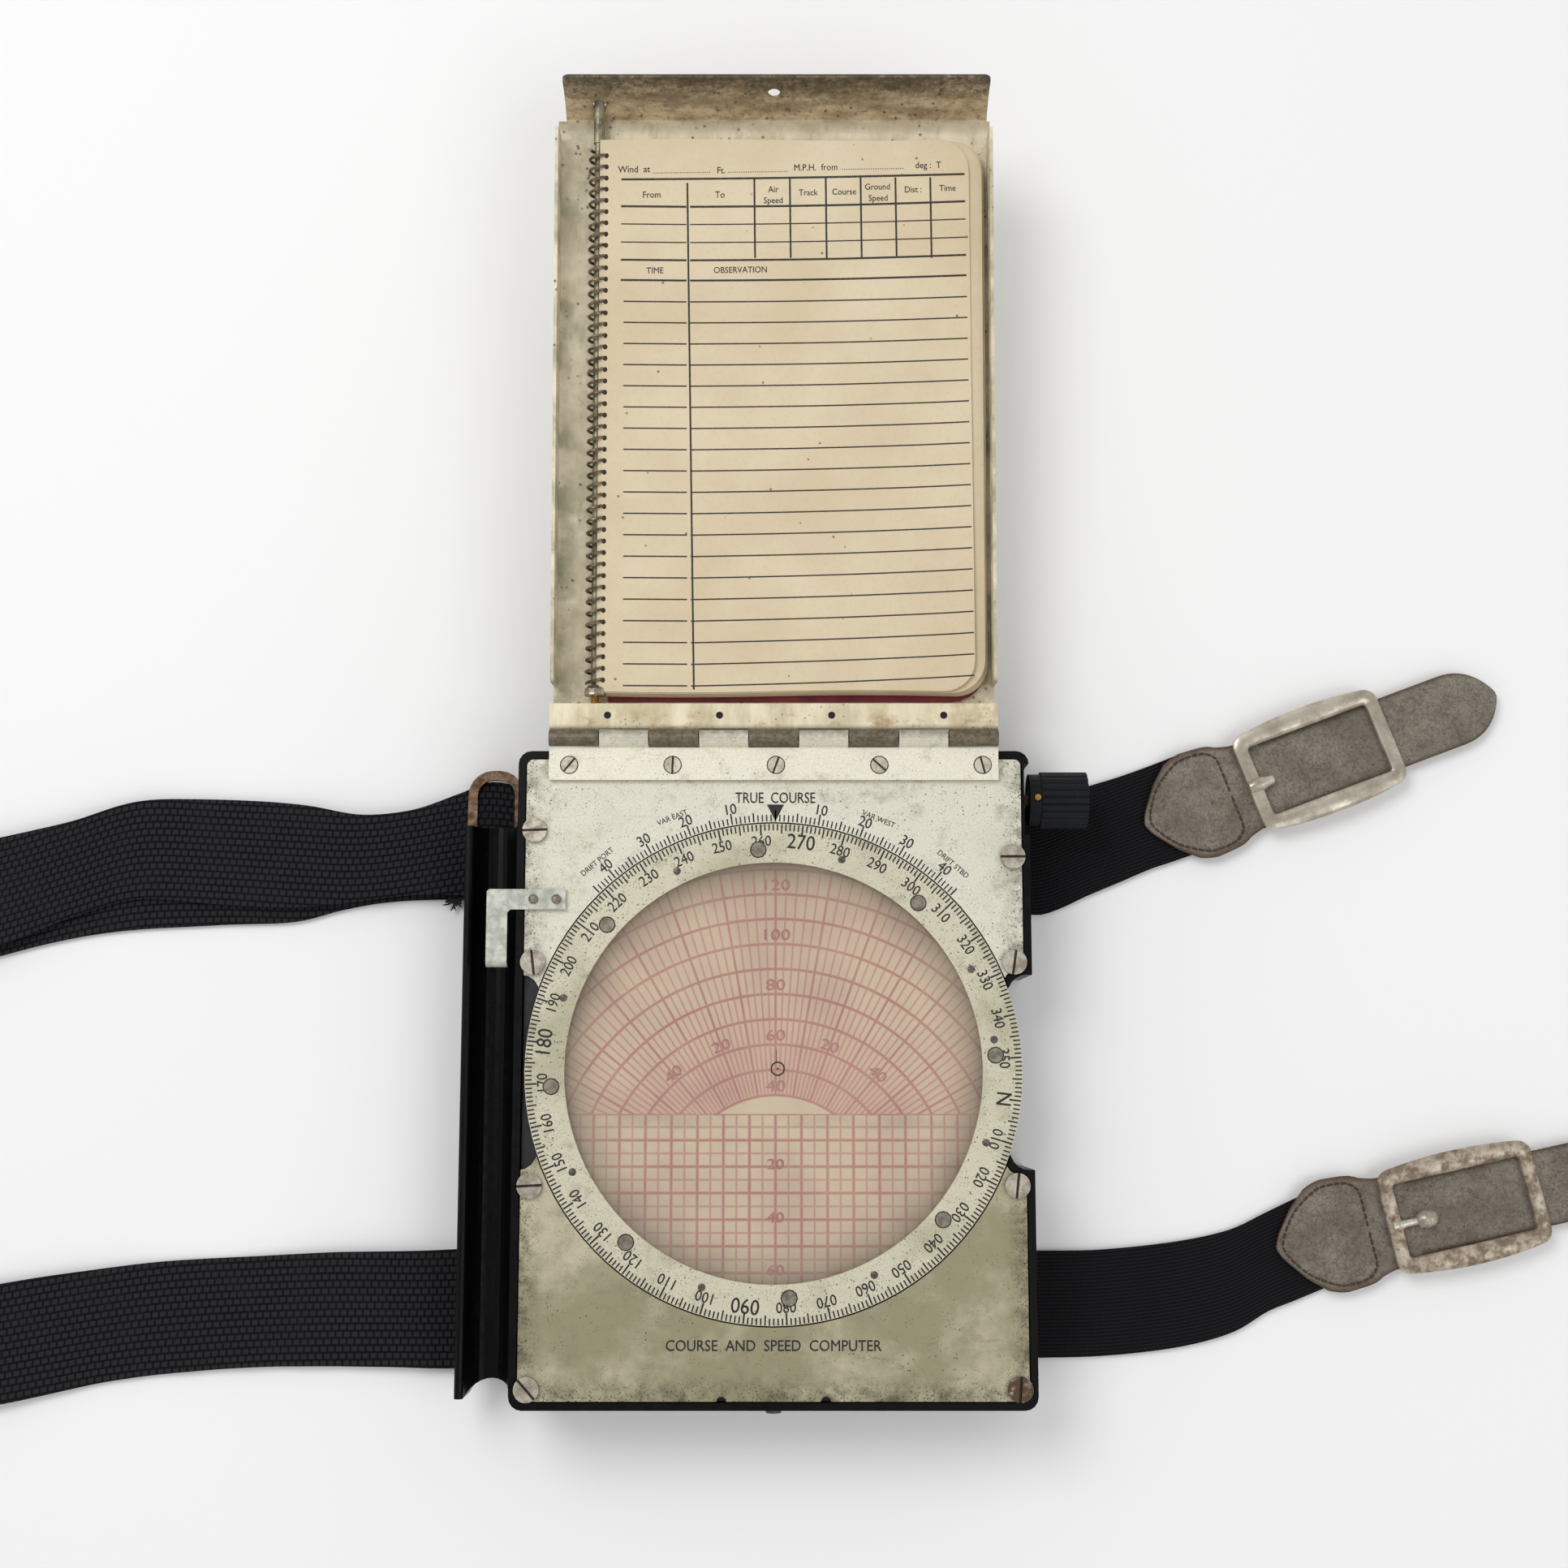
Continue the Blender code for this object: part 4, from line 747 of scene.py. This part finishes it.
def make_window_marks():
    """Centre circle and lubber line on the window, and the numbers on the chart."""
    top = 28.2 * MM
    mark = Shapes()
    cx, cy = 1.1 * MM, 1.4 * MM
    mark.ring(1.7 * MM, 0.4 * MM, top, top + INK, (cx, cy), 40)
    mark.prism([(cx + 0.3 * MM * cos(a), cy + 0.3 * MM * sin(a)) for a in angles(10)], top, top + INK)
    mark.bar(cx - 0.45 * MM, cx - 0.3 * MM, cy + 1.8 * MM, cy + 5.2 * MM, top, top + INK)
    mark.piece("window_mark", "rose", BLACK_INK, "frosted_window")
    chart = Shapes()
    z = 24.5 * MM + INK / 2
    unit = ARC_STEP / 10
    for value in (40, 60, 80, 100, 120):
        place = at(CHART_X, CHART_Y + value * unit + 2.3 * MM, z)
        chart.lettering(str(value), 3.0 * MM, place, 3 * BOLD, 1.3)
    for turn in (-40, -20, 20, 40):
        place = at(CHART_X, CHART_Y, z) @ Matrix.Rotation(-radians(turn), 4, "Z")
        place = place @ at(0.0, 60 * unit + 2.0 * MM)
        chart.lettering(str(abs(turn)), 2.9 * MM, place, 3 * BOLD, 1.3)
    for value, y in (("20", -23.6), ("40", -37.4), ("60", -51.0)):
        chart.lettering(value, 2.7 * MM, at(CHART_X, y * MM, z), 3 * BOLD, 1.25)
    chart.piece("chart_numbers", "case", CHART_INK, "chart")


# ---------------- the lid

PAGE_TOP = 26.8
HOLES_X = -46.2
COIL_TURNS = 47
COIL_START = 15.5
COIL_PITCH = 3.17


def page_height(x, s):
    """Height of the top page in mm over the lid's frame: nearly flat, curling at its right edge."""
    edge = max(0.0, (x - 38.0) / 17.0)
    wave = 0.25 * sin(s / 23.0 + x / 40.0)
    return PAGE_TOP + 0.9 * edge ** 2 * (0.5 + 0.5 * sin(s / 31.0 + 0.4)) + wave * (x + 48) / 100


def lid_point(x, s, z):
    """World point of a place on the open lid, in mm from the hinge axis."""
    return LID_PLACE @ Vector((x * MM, (89.0 + s) * MM, z * MM))


def page_grid(left, right, near, far, corner, height, slant=0.0):
    """Grid of points on a page with two rounded corners at the right."""
    rows = []
    steps = 46
    for j in range(steps + 1):
        share = (1 - cos(pi * j / steps)) / 2
        s = near + (far - near) * share
        gap = min(s - near, far - s)
        inset = corner - sqrt(max(0.0, corner ** 2 - (corner - gap) ** 2)) if gap < corner else 0.0
        end = right - inset + slant * share
        row = []
        for i in range(31):
            x = left + (end - left) * i / 30
            lift = 0.6 * sin((x + 48) / 15.0) * (share - 0.5)
            row.append((x, s + lift, height(x, s)))
        rows.append(row)
    return rows


def page_skin(name, rows, thick):
    """Sheet of that thickness under a grid of points on the lid."""
    return skin(name, [[lid_point(*p) for p in row] for row in rows],
                [[lid_point(x, s, z - thick) for x, s, z in row] for row in rows])


def make_pages():
    """Stack of loose leaves, the printed top page and its punched holes."""
    random.seed(4)
    stack = Shapes()
    for k in range(7):
        low = 23.35 + 0.44 * k
        right = 58.3 - 0.22 * k + random.uniform(-0.45, 0.35)
        near = 12.4 + 0.10 * k + random.uniform(-0.15, 0.15)
        far = 166.9 - 0.12 * k + random.uniform(-0.25, 0.25)
        rows = page_grid(-47.2, right, near, far, 9.0 + random.uniform(-0.6, 0.6),
                         lambda x, s: low + 0.36 + 0.12 * sin(s / 17.0 + k) * max(0.0, x / 57))
        leaf = page_skin("leaf", rows, 0.3)
        first = len(stack.points)
        stack.points += [v.co.copy() for v in leaf.vertices]
        stack.faces += [[first + i for i in p.vertices] for p in leaf.polygons]
        bpy.data.meshes.remove(leaf)
    stack.piece("page_stack", "lid", PAPER, "paper", "pad_pages", smooth=True)
    rows = page_grid(-48.0, 54.4, 13.2, 166.6, 8.6, page_height, -0.8)
    piece("top_page", page_skin("top_page", rows, 0.12), "lid", PAPER, "paper")
    # Dark discs of painted shadow stand in for the punched holes.
    holes = Shapes()
    outline = [(0.62 * MM * cos(a), 0.72 * MM * sin(a)) for a in angles(12)]
    for turn in range(COIL_TURNS):
        s = COIL_START + (turn + 0.25) * COIL_PITCH
        point = lid_point(HOLES_X, s, page_height(HOLES_X, s) + 0.01)
        holes.prism(outline, 0.0, INK, Matrix.Translation(point) @ LID_TURN)
    holes.piece("punched_holes", "lid", SHADOW, "paper")


def make_coil():
    """Spiral wire through the pages' holes, round the retaining rod."""
    line = []
    per_turn = 16
    for i in range(COIL_TURNS * per_turn + 1):
        turn = i / per_turn
        a = 2 * pi * turn
        swell = 2.25 + 0.04 * sin(turn * 1.7)
        advance = turn - 0.11 * sin(a)
        line.append(lid_point(-48.6 - swell * cos(a), COIL_START + COIL_PITCH * advance,
                              25.4 + swell * sin(a)))
    coil = Shapes()
    coil.tube(line, 0.42 * MM)
    coil.piece("spiral_wire", "lid", WIRE, "wire_metal", "spiral_binding", smooth=True)


def page_place(x, s, turn=0.0):
    """Frame that lies on the top page."""
    point = lid_point(x, s, page_height(x, s) + 0.03)
    return Matrix.Translation(point) @ LID_TURN @ Matrix.Rotation(radians(turn), 4, "Z")


def print_line(shapes, start, end, width, sag=0.0):
    """Printed line that follows the page between two points in lid millimetres."""
    count = max(2, int(dist(start, end) / 4))
    side = Vector((start[1] - end[1], end[0] - start[0])).normalized() * width * 0.7
    loops = []
    for i in range(count + 1):
        t = i / count
        x = start[0] + (end[0] - start[0]) * t
        s = start[1] + (end[1] - start[1]) * t - sag * sin(pi * t)
        loop = []
        for sign, up in ((-1, 0.01), (1, 0.01), (1, 0.04), (-1, 0.04)):
            px, ps = x + side.x * sign, s + side.y * sign
            loop.append(lid_point(px, ps, page_height(px, ps) + up))
        loops.append(loop)
    shapes.loft(loops)


def make_form():
    """Printed form on the top page: flight log table above, ruled observations below."""
    form = Shapes()
    left, split, right = -42.1, -23.7, 52.5

    def row(s, width, start=left, tilt=1.3):
        middle = split + 0.9 * (1 - s / 156)
        rise = tilt * (middle - start) / (right - start)
        print_line(form, (start, s), (middle - 0.5, s + rise * 0.2 - 0.2), width)
        print_line(form, (middle + 0.5, s - 0.15), (right + 0.012 * (156 - s), s + tilt), width, 0.35)

    print_line(form, (left, 155.4), (right, 156.8), 0.42, 0.25)
    for s, width in ((147.8, 0.42), (142.8, 0.24), (137.7, 0.24), (132.7, 0.4), (127.0, 0.4)):
        row(s, width)
    for k in range(19):
        row(121.0 - 5.9 * k, 0.27, left + 0.8 + 0.03 * k, 1.3 + 0.075 * k)
    print_line(form, (-23.9, 154.4), (-21.6, 13.7), 0.36)
    for x in (-5.3, 4.5, 14.4, 24.0, 33.6, 43.2):
        print_line(form, (x - 0.15, 155.9), (x + 0.1, 133.2), 0.36)
    words = (("Wind  at", -38.6, 158.2, 2.0), ("Ft.", -14.6, 157.9, 1.9), ("M.P.H.  from", 11.5, 158.7, 1.9),
             ("deg :  T", 42.5, 159.3, 1.9), ("From", -33.7, 151.0, 1.9), ("To", -14.9, 151.0, 1.9),
             ("Air", -0.2, 152.5, 1.8), ("Speed", -0.2, 149.4, 1.8), ("Track", 9.4, 151.6, 1.8),
             ("Course", 19.3, 151.8, 1.8), ("Ground", 28.5, 153.2, 1.8), ("Speed", 28.7, 150.0, 1.8),
             ("Dist :", 38.3, 152.4, 1.8), ("Time", 47.8, 152.8, 1.8), ("TIME", -32.7, 129.6, 1.8),
             ("OBSERVATION", -9.2, 129.8, 1.8))
    for text, x, s, height in words:
        form.lettering(text, height * MM, page_place(x, s, 0.8), BOLD / 2, 0.9)
    dot = 0.12 * MM
    for start, end, s in ((-33.2, -16.5, 157.2), (-12.6, 4.2, 157.4), (18.8, 36.4, 158.2)):
        for k in range(int((end - start) / 0.62)):
            x = start + 0.62 * k
            form.bar(-dot, dot, -dot, dot, 0.0, INK, page_place(x, s + 0.012 * (x - start)))
    form.piece("page_print", "lid", PRINT, "paper")


# ---------------- straps


STRAP_COLUMNS = 14


def strap_rows(route, low, thick, wave, flat_until):
    """Top and bottom grids of a flat strap between its two edges."""
    edges = [smooth_route(side, 2.2)[0] for side in route]
    count = max(len(edge) for edge in edges)
    share = np.linspace(0, 1, count)
    lower, upper = [np.stack([np.interp(share, np.linspace(0, 1, len(edge)), line) for line in edge.T], 1)
                    for edge in edges]
    middle = (lower + upper) / 2
    run = np.concatenate([[0], np.cumsum(np.linalg.norm(np.diff(middle, axis=0), axis=1))])
    top, bottom, along, across = [], [], [], []
    for one, other, d in zip(lower, upper, run):
        half = np.linalg.norm(other - one) / 2
        free = min(1.0, max(0.0, (abs(one[0]) - flat_until) / 25))
        scallop = 1 + free * 0.006 * sin(2 * pi * d / 2.1)
        row_top, row_bottom = [], []
        for i in range(STRAP_COLUMNS + 1):
            v = sin((2 * i / STRAP_COLUMNS - 1) * pi / 2)
            px, py = (one + other) / 2 + (other - one) / 2 * v * scallop
            z = low + free * wave(d, v)
            bulge = thick / 2 * sqrt(max(0.04, 1 - abs(v) ** 6))
            row_top.append((px * MM, py * MM, (z + thick / 2 + bulge) * MM))
            row_bottom.append((px * MM, py * MM, (z + thick / 2 - bulge) * MM))
            along.append(d * MM)
            across.append(v * half * MM)
        top.append(row_top)
        bottom.append(row_bottom)
    return top, bottom, {"along": along, "across": across}, run[-1]


def strap(name, look, slot, node, thick, *layers):
    """One woven strap, its layers in one piece. A layer is route, height and wave."""
    meshes = []
    for path, height, ripple in layers:
        top, bottom, facts, run = strap_rows(path, height, thick, ripple, 70)
        meshes.append(skin(name, top, bottom, facts))
    data = meshes[0]
    if len(meshes) > 1:
        work = bmesh.new()
        for mesh in meshes:
            work.from_mesh(mesh)
        work.to_mesh(data)
        work.free()
    data.polygons.foreach_set("use_smooth", [True] * len(data.polygons))
    item = piece(name, data, "case", look, slot, node)


# Each strap is its low and its high edge in mm, both running away from the case.
WEB_UPPER = ([(58, 46), (20, 46), (-40, 46.5), (-68, 48), (-80, 49), (-87, 49.3), (-100, 49.3), (-115, 47.5),
              (-132, 46), (-155, 46.8), (-177, 48.2), (-195, 43), (-215, 34.8), (-251, 24)],
             [(58, 78), (20, 78), (-40, 78.5), (-68, 80), (-80, 81), (-87, 78), (-100, 73.2), (-115, 71.8),
              (-132, 74.6), (-155, 76.3), (-177, 75.6), (-195, 70.2), (-215, 65.4), (-251, 57.2)])
WEB_UPPER_FOLD = ([(-72, 48.3), (-92, 48.3), (-108, 47.4), (-120, 45.4), (-134, 42), (-155, 41.1),
                   (-176, 40), (-196, 37.2), (-215, 32.5), (-251, 21.5)],
                  [(-72, 74), (-92, 72), (-108, 69), (-120, 69), (-134, 71), (-155, 72.5), (-176, 72),
                   (-196, 67), (-215, 62), (-251, 54)])
WEB_LOWER = ([(58, -77.6), (20, -77.6), (-40, -77.6), (-68, -77.9), (-87, -78.6), (-122, -78), (-154, -79.2),
              (-178, -82), (-210, -88.3), (-246, -94.5)],
             [(58, -46.4), (20, -46.4), (-40, -46.4), (-68, -46.6), (-87, -47.1), (-122, -48), (-154, -49.7),
              (-178, -51.6), (-210, -56.3), (-246, -62.5)])
ELASTIC_UPPER = ([(59, 44.8), (68, 44.6), (74, 44), (80, 45.9), (87, 49.2), (96, 53), (105, 56.9),
                  (111, 58.9), (124, 63.4)],
                 [(59, 73.4), (68, 73.8), (74, 75), (80, 77.2), (87, 79.8), (96, 82.5), (105, 85.7),
                  (114, 89.3)])
ELASTIC_LOWER = ([(59, -76.2), (72, -76), (89, -75.4), (109, -73.2), (124, -69.4), (134, -63.8), (142, -60.7),
                  (155, -55.4)],
                 [(59, -47.8), (72, -47.6), (89, -47.3), (109, -45.2), (124, -42), (134, -37.4), (142, -33.6),
                  (149, -30.6)])


def make_straps():
    """Webbing to the left and elastic to the right, all lying on the table."""
    def calm(d, v):
        return 0.35 + 0.35 * sin(d / 13.0) * (0.4 + 0.6 * v)

    def draped(d, v):
        return 1.5 + 1.0 * sin(d / 21.0 + 0.6) + 0.5 * v * sin(d / 12.0) + 0.12 * sin(d / 2.6) * abs(v)

    strap("webbing_upper_strap", WEBBING, "webbing", "webbing_upper", 1.3, (WEB_UPPER, 1.75, draped),
          (WEB_UPPER_FOLD, 0.32, calm))
    strap("webbing_lower_strap", WEBBING, "webbing", "webbing_lower", 1.3, (WEB_LOWER, 0.35, draped))
    strap("elastic_upper_strap", ELASTIC, "elastic", "elastic_upper", 1.4, (ELASTIC_UPPER, 0.35, calm))
    strap("elastic_lower_strap", ELASTIC, "elastic", "elastic_lower", 1.4, (ELASTIC_LOWER, 0.35, calm))
    random.seed(8)
    fray = Shapes()
    for k in range(44):
        base = Vector((-88.6 + random.uniform(-1.9, 1.9), 48.9 + random.uniform(-0.5, 0.5), 1.9))
        turn = random.uniform(radians(225), radians(315))
        reach = random.uniform(1.4, 4.2) * (1 - abs(base.x + 88.6) / 3.2)
        line = []
        for i in range(6):
            t = i / 5
            swing = turn + 0.7 * t * sin(k)
            line.append((base + Vector((cos(swing), sin(swing), 0.1)) * reach * t) * MM)
        fray.tube(line, [0.34 * MM, 0.36 * MM, 0.34 * MM, 0.3 * MM, 0.24 * MM, 0.1 * MM], 5)
    fray.piece("webbing_fray", "case", THREAD, "webbing", smooth=True)


BUCKLES = (("upper", (152.3, 87.2), 20.5, 53.0), ("lower", (187.4, -35.6), 12.5, 45.0))


def leather_half(u, length):
    """Half width of the leather at a place along it, in mm."""
    if u < -14:
        return np.interp(u, [-52, -51, -46, -41, -38, -36, -30, -27.5, -25.5, -22, -18],
                         [0.8, 3.2, 9.6, 14.0, 15.1, 15.4, 15.0, 14.5, 13.4, 12.5, 12.2])
    tip = length - 13.0
    if u > tip:
        return 10.3 * (1 - min(0.985, (u - tip) / 14.4) ** 2.4) ** 0.75
    return 10.3


def leather_piece(name, place, start, end, length, low, thick, rise, *nodes):
    """Leather solid of changing width along a buckle's own axis."""
    count = int((end - start) / 1.1) + 1
    columns = 14
    top, bottom, across = [], [], []
    for j in range(count + 1):
        u = start + (end - start) * (j / count - 0.04 * sin(2 * pi * j / count))
        half = leather_half(u, length)
        row_top, row_bottom = [], []
        for i in range(columns + 1):
            v = sin((2 * i / columns - 1) * pi / 2)
            z = low + rise(u)
            end_round = min(1.0, (min(u - start, end - u) + 0.25) / 0.8)
            bulge = thick / 2 * sqrt(max(0.05, 1 - abs(v) ** 8)) * sqrt(end_round)
            for rows, sign in ((row_top, 1), (row_bottom, -1)):
                rows.append(place @ Vector((u * MM, v * half * MM, (z + thick / 2 + sign * bulge) * MM)))
            across.append(abs(v))
        top.append(row_top)
        bottom.append(row_bottom)
    piece(name, skin(name, top, bottom, {"across": across}), "case", LEATHER, "grey_leather", *nodes)


def frame_outline(half_x, half_y, corner, bow):
    """Rounded rectangle whose long sides bow outwards, with points that pair up between sizes."""
    points = []
    for side_x, side_y, start in ((1, 1, 0), (-1, 1, 90), (-1, -1, 180), (1, -1, 270)):
        for k in range(6):
            a = radians(start + 18 * k)
            points.append(Vector((side_x * (half_x - corner) + corner * cos(a),
                                  side_y * (half_y - corner) + corner * sin(a))))
        across = start in (0, 180)
        last = points[-1]
        step = Vector((-2 * side_x * (half_x - corner), 0))
        if not across:
            step = Vector((0, -2 * side_y * (half_y - corner)))
        count = 18 if across else 10
        points += [last + step * i / count for i in range(1, count)]
    for p in points:
        if abs(p.y) > half_y * 0.9:
            p.y += copysign(bow * max(0.0, 1 - (p.x / half_x) ** 2), p.y)
    return points


def placed(place, points):
    """World points of a row of places in mm."""
    return [place @ (Vector(p) * MM) for p in points]


def buckle_frame(which, place):
    """Cast buckle frame with rounded section, bowed rails and its middle bar."""
    shapes = Shapes()
    outer = frame_outline(21.7, 13.6, 3.2, 1.9)
    inner = frame_outline(17.7, 10.0, 1.0, 0.0)
    loops = []
    for p, q in zip(outer, inner):
        middle = (p + q) / 2
        reach = (p - q) / 2
        z = 5.35 + 0.75 * (1 - (middle.x / 20) ** 2)
        loop = []
        for a in angles(10):
            edge = middle + reach * copysign(abs(cos(a)) ** 0.6, cos(a))
            loop.append((edge.x, edge.y, z + 0.95 * sin(a)))
        loops.append(placed(place, loop))
    shapes.loft(loops, True)
    for side in (-1, 1):
        shapes.tube(placed(place, [(0, side * y, z) for y, z in ((11.6, 5.6), (11.2, 3.2), (10.9, 1.5))]),
                    0.9 * MM, 8)
    shapes.tube(placed(place, [(0, y, 1.25) for y in (-11, -5, 0, 5, 11)]), 0.9 * MM, 8)
    look = BUCKLE_WORN if which == "upper" else BUCKLE_RUSTY
    shapes.piece(f"buckle_{which}_frame", "case", look, "buckle_metal", f"buckle_{which}", smooth=True)


def make_leather():
    """Sewn tab, billet, stitches, buckle and prong at the end of each elastic strap."""
    for which, (x, y), turn, length in BUCKLES:
        place = Matrix.Translation((x * MM, y * MM, 0.0)) @ Matrix.Rotation(radians(turn), 4, "Z")
        leather_piece(f"leather_{which}_tab", place, -52.0, -18.4, length, 2.2, 1.9,
                      lambda u: 0.25 * sin((u + 52) / 9), f"leather_tab_{which}")
        leather_piece(f"leather_{which}_billet", place, -18.0, length + 1.2, length, 2.25, 1.6,
                      lambda u: 0.55 * exp(-(u / 7) ** 2) + 0.3 * sin(max(0.0, u - 20) / 8))
        stitches = Shapes()
        edge = [(-26.6, 0.6), (-26.6, 9.5), (-27.6, 11.6), (-30.2, 13.2), (-36.2, 13.5), (-38.8, 12.7),
                (-42.0, 10.9), (-46.0, 7.7), (-50.0, 1.8)]
        outline = edge + [(u, -v) for u, v in reversed(edge)]
        path = smooth_route(outline, 1.95)[0]
        for a, b in zip(path, path[1:]):
            dx, dy = (b - a) * 0.7
            z = 4.06 + 0.25 * sin((a[0] + 52) / 9)
            line = [(a[0] + dx * t, a[1] + dy * t, z + h)
                    for t, h in ((0, -0.1), (0.25, 0.12), (0.75, 0.12), (1, -0.1))]
            stitches.tube(placed(place, line), 0.32 * MM)
        stitches.piece(f"leather_{which}_stitches", "case", STITCH, "grey_leather", smooth=True)
        buckle_frame(which, place)
        prong = Shapes()
        centre, profile, look = PRONGS[which]
        turned_x(prong, profile, Vector(centre), 14)
        prong.points = placed(place, prong.points)
        prong.piece(f"buckle_{which}_prong", "case", look, "buckle_metal", smooth=True)


def dress_nodes():
    """Gives every carried-over CAD node its finished material."""
    for name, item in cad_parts.items():
        for start, look in NODE_LOOKS.items():
            if name.startswith(start):
                item.data.materials.clear()
                item.data.materials.append(look)


PLATE_HALF = (0.066, 0.0835)
BLACK_INK = ink_look("black_ink", (16, 15, 13), 0.5, 0.12)
PRINT = ink_look("print", (50, 48, 43), 0.8, 0.25)
CHART_INK = ink_look("chart_ink", (158, 44, 66), 0.7, 0.15)
SHADOW = ink_look("hole_shadow", (52, 42, 34), 0.9, 0.1)
STITCH = ink_look("stitch", (66, 48, 34), 0.85, 0.3)
THREAD = ink_look("thread", (22, 22, 24), 0.9, 0.2)
STUD = plain_metal("stud", (150, 144, 128), (104, 98, 86), 2, 0.4, (0.35, 0.5))
STUD_DARK = plain_metal("stud_dark", (112, 106, 98), (66, 61, 58), 1.5, 0.5, (0.35, 0.5))
CHEEK = plain_metal("cheek", (150, 148, 140), (120, 118, 110), 8, 0.7)
BRASS = plain_metal("brass", (190, 156, 84), (140, 108, 54), 2, 0.9)
WIRE = plain_metal("wire", (142, 124, 100), (70, 58, 46), 2, 0.45, (0.35, 0.55), rust=0.5)
BUCKLE_WORN = plain_metal("buckle_worn", (206, 198, 182), (160, 150, 134), 8, 0.6, (0.24, 0.45), depth=0.05)
BUCKLE_RUSTY = plain_metal("buckle_rusty", (190, 178, 160), (124, 108, 90), 4, 0.5, (0.3, 0.6),
                           rust=0.55, depth=0.1)
PRONG_BRIGHT = plain_metal("prong", (216, 209, 196), (150, 139, 124), 3, 0.6, (0.3, 0.5), depth=0.08)
ROLLER = plain_metal("roller", (150, 120, 86), (116, 88, 58), 4, 0.0, (0.6, 0.8), (0.2, 1, 1))
PAPER = paper_look()
WEBBING = webbing_look()
ELASTIC = elastic_look()
LEATHER = leather_look()

# Each buckle's prong: its middle, its turned outline along the buckle, and its look
PRONGS = {
    "upper": ((0.0, -0.6, 5.3), [(-21.9, 0.5), (-21.5, 1.7), (-20.2, 2.2), (-17.8, 2.1), (-16.0, 1.5),
                                 (-14.2, 1.2), (-13.6, 0.3)], BUCKLE_WORN),
    "lower": ((0.0, -0.9, 5.2), [(-20.6, 0.4), (-20.3, 1.7), (-18.6, 1.6), (-16.4, 1.0), (-13.6, 1.0),
                                 (-12.6, 2.0), (-10.8, 2.5), (-9.0, 2.2), (-7.8, 1.1), (-7.4, 0.2)],
              PRONG_BRIGHT),
}

# The look of every CAD node that stays in view, by how its name starts
NODE_LOOKS = {
    "case_moulding": moulding("case_black", (12, 12, 14), 0.25, 0.03),
    "pencil_trough": moulding("trough_black", (9, 9, 11), 0.22, 0.02),
    "chart_knob": moulding("knob_black", (25, 27, 31), 0.35),
    "bearing_frame": plain_metal("black_paint", (28, 29, 33), (20, 21, 24), 6, 0.1, (0.45, 0.6)),
    "face_plate_upper": worn_plate("plate_upper", (226, 223, 206), (208, 204, 184), 0.25, 0.15,
                                   (*PLATE_HALF, 0.7), 0.4),
    "face_plate_lower": worn_plate("plate_lower", (200, 192, 164), (150, 143, 112), 0.85, 0.25,
                                   (*PLATE_HALF, 0.9), 0.3, 1.9),
    "azimuth_ring": worn_plate("ring", (214, 208, 184), (182, 178, 150), 0.5, 0.2, None, 0.65, 0.8),
    "roller_cheek": CHEEK,
    "platen": CHEEK,
    "upper_bush": BRASS,
    "lower_bush": BRASS,
    "knob_pin": BRASS,
    "rod_socket": socket_look(),
    "chart_band": chart_look(),
    "upper_roller": ROLLER,
    "lower_roller": ROLLER,
    "window_disc": window_look(),
    "ring_retainer": STUD,
    "hinge_pin": STUD_DARK,
    "lid_catch_stud": STUD_DARK,
    # Case hinge leaf, with painted shade on its knuckles.
    "hinge_leaf_case": worn_plate("leaf", (240, 235, 216), (222, 216, 195), 0.2, 0.2, None, 0.2, 2.6, True),
    "hinge_leaf_lid": hinge_bar_look(),
    "lid_shell": lid_sheet(),
    "pad_back_cover": crimson_look(),
    "pad_rod": plain_metal("rod", (162, 154, 128), (88, 81, 62), 2.2, 0.45, (0.35, 0.6), (1, 0.4, 1), 0.4),
    "pencil_clip": plain_metal("zinc", (206, 206, 196), (168, 169, 158), 3, 0.3, (0.4, 0.6), depth=0.06),
    "clip_rivet": STUD,
    "strap_loop": plain_metal("rusted", (150, 124, 100), (96, 74, 54), 3, 0.4, (0.5, 0.8),
                              rust=0.9, depth=0.12),
    "face_screw": screw_look("screw", (200, 193, 178), (142, 133, 116), 30.6 * MM, 0.6),
    "hinge_screw": screw_look("hinge_screw", (216, 208, 192), (166, 156, 138), 31.05 * MM, 0.35),
}

make_stage()
dress_nodes()
make_ring_marks()
make_plate_marks()
make_window_marks()
make_pages()
make_coil()
make_form()
make_straps()
make_leather()
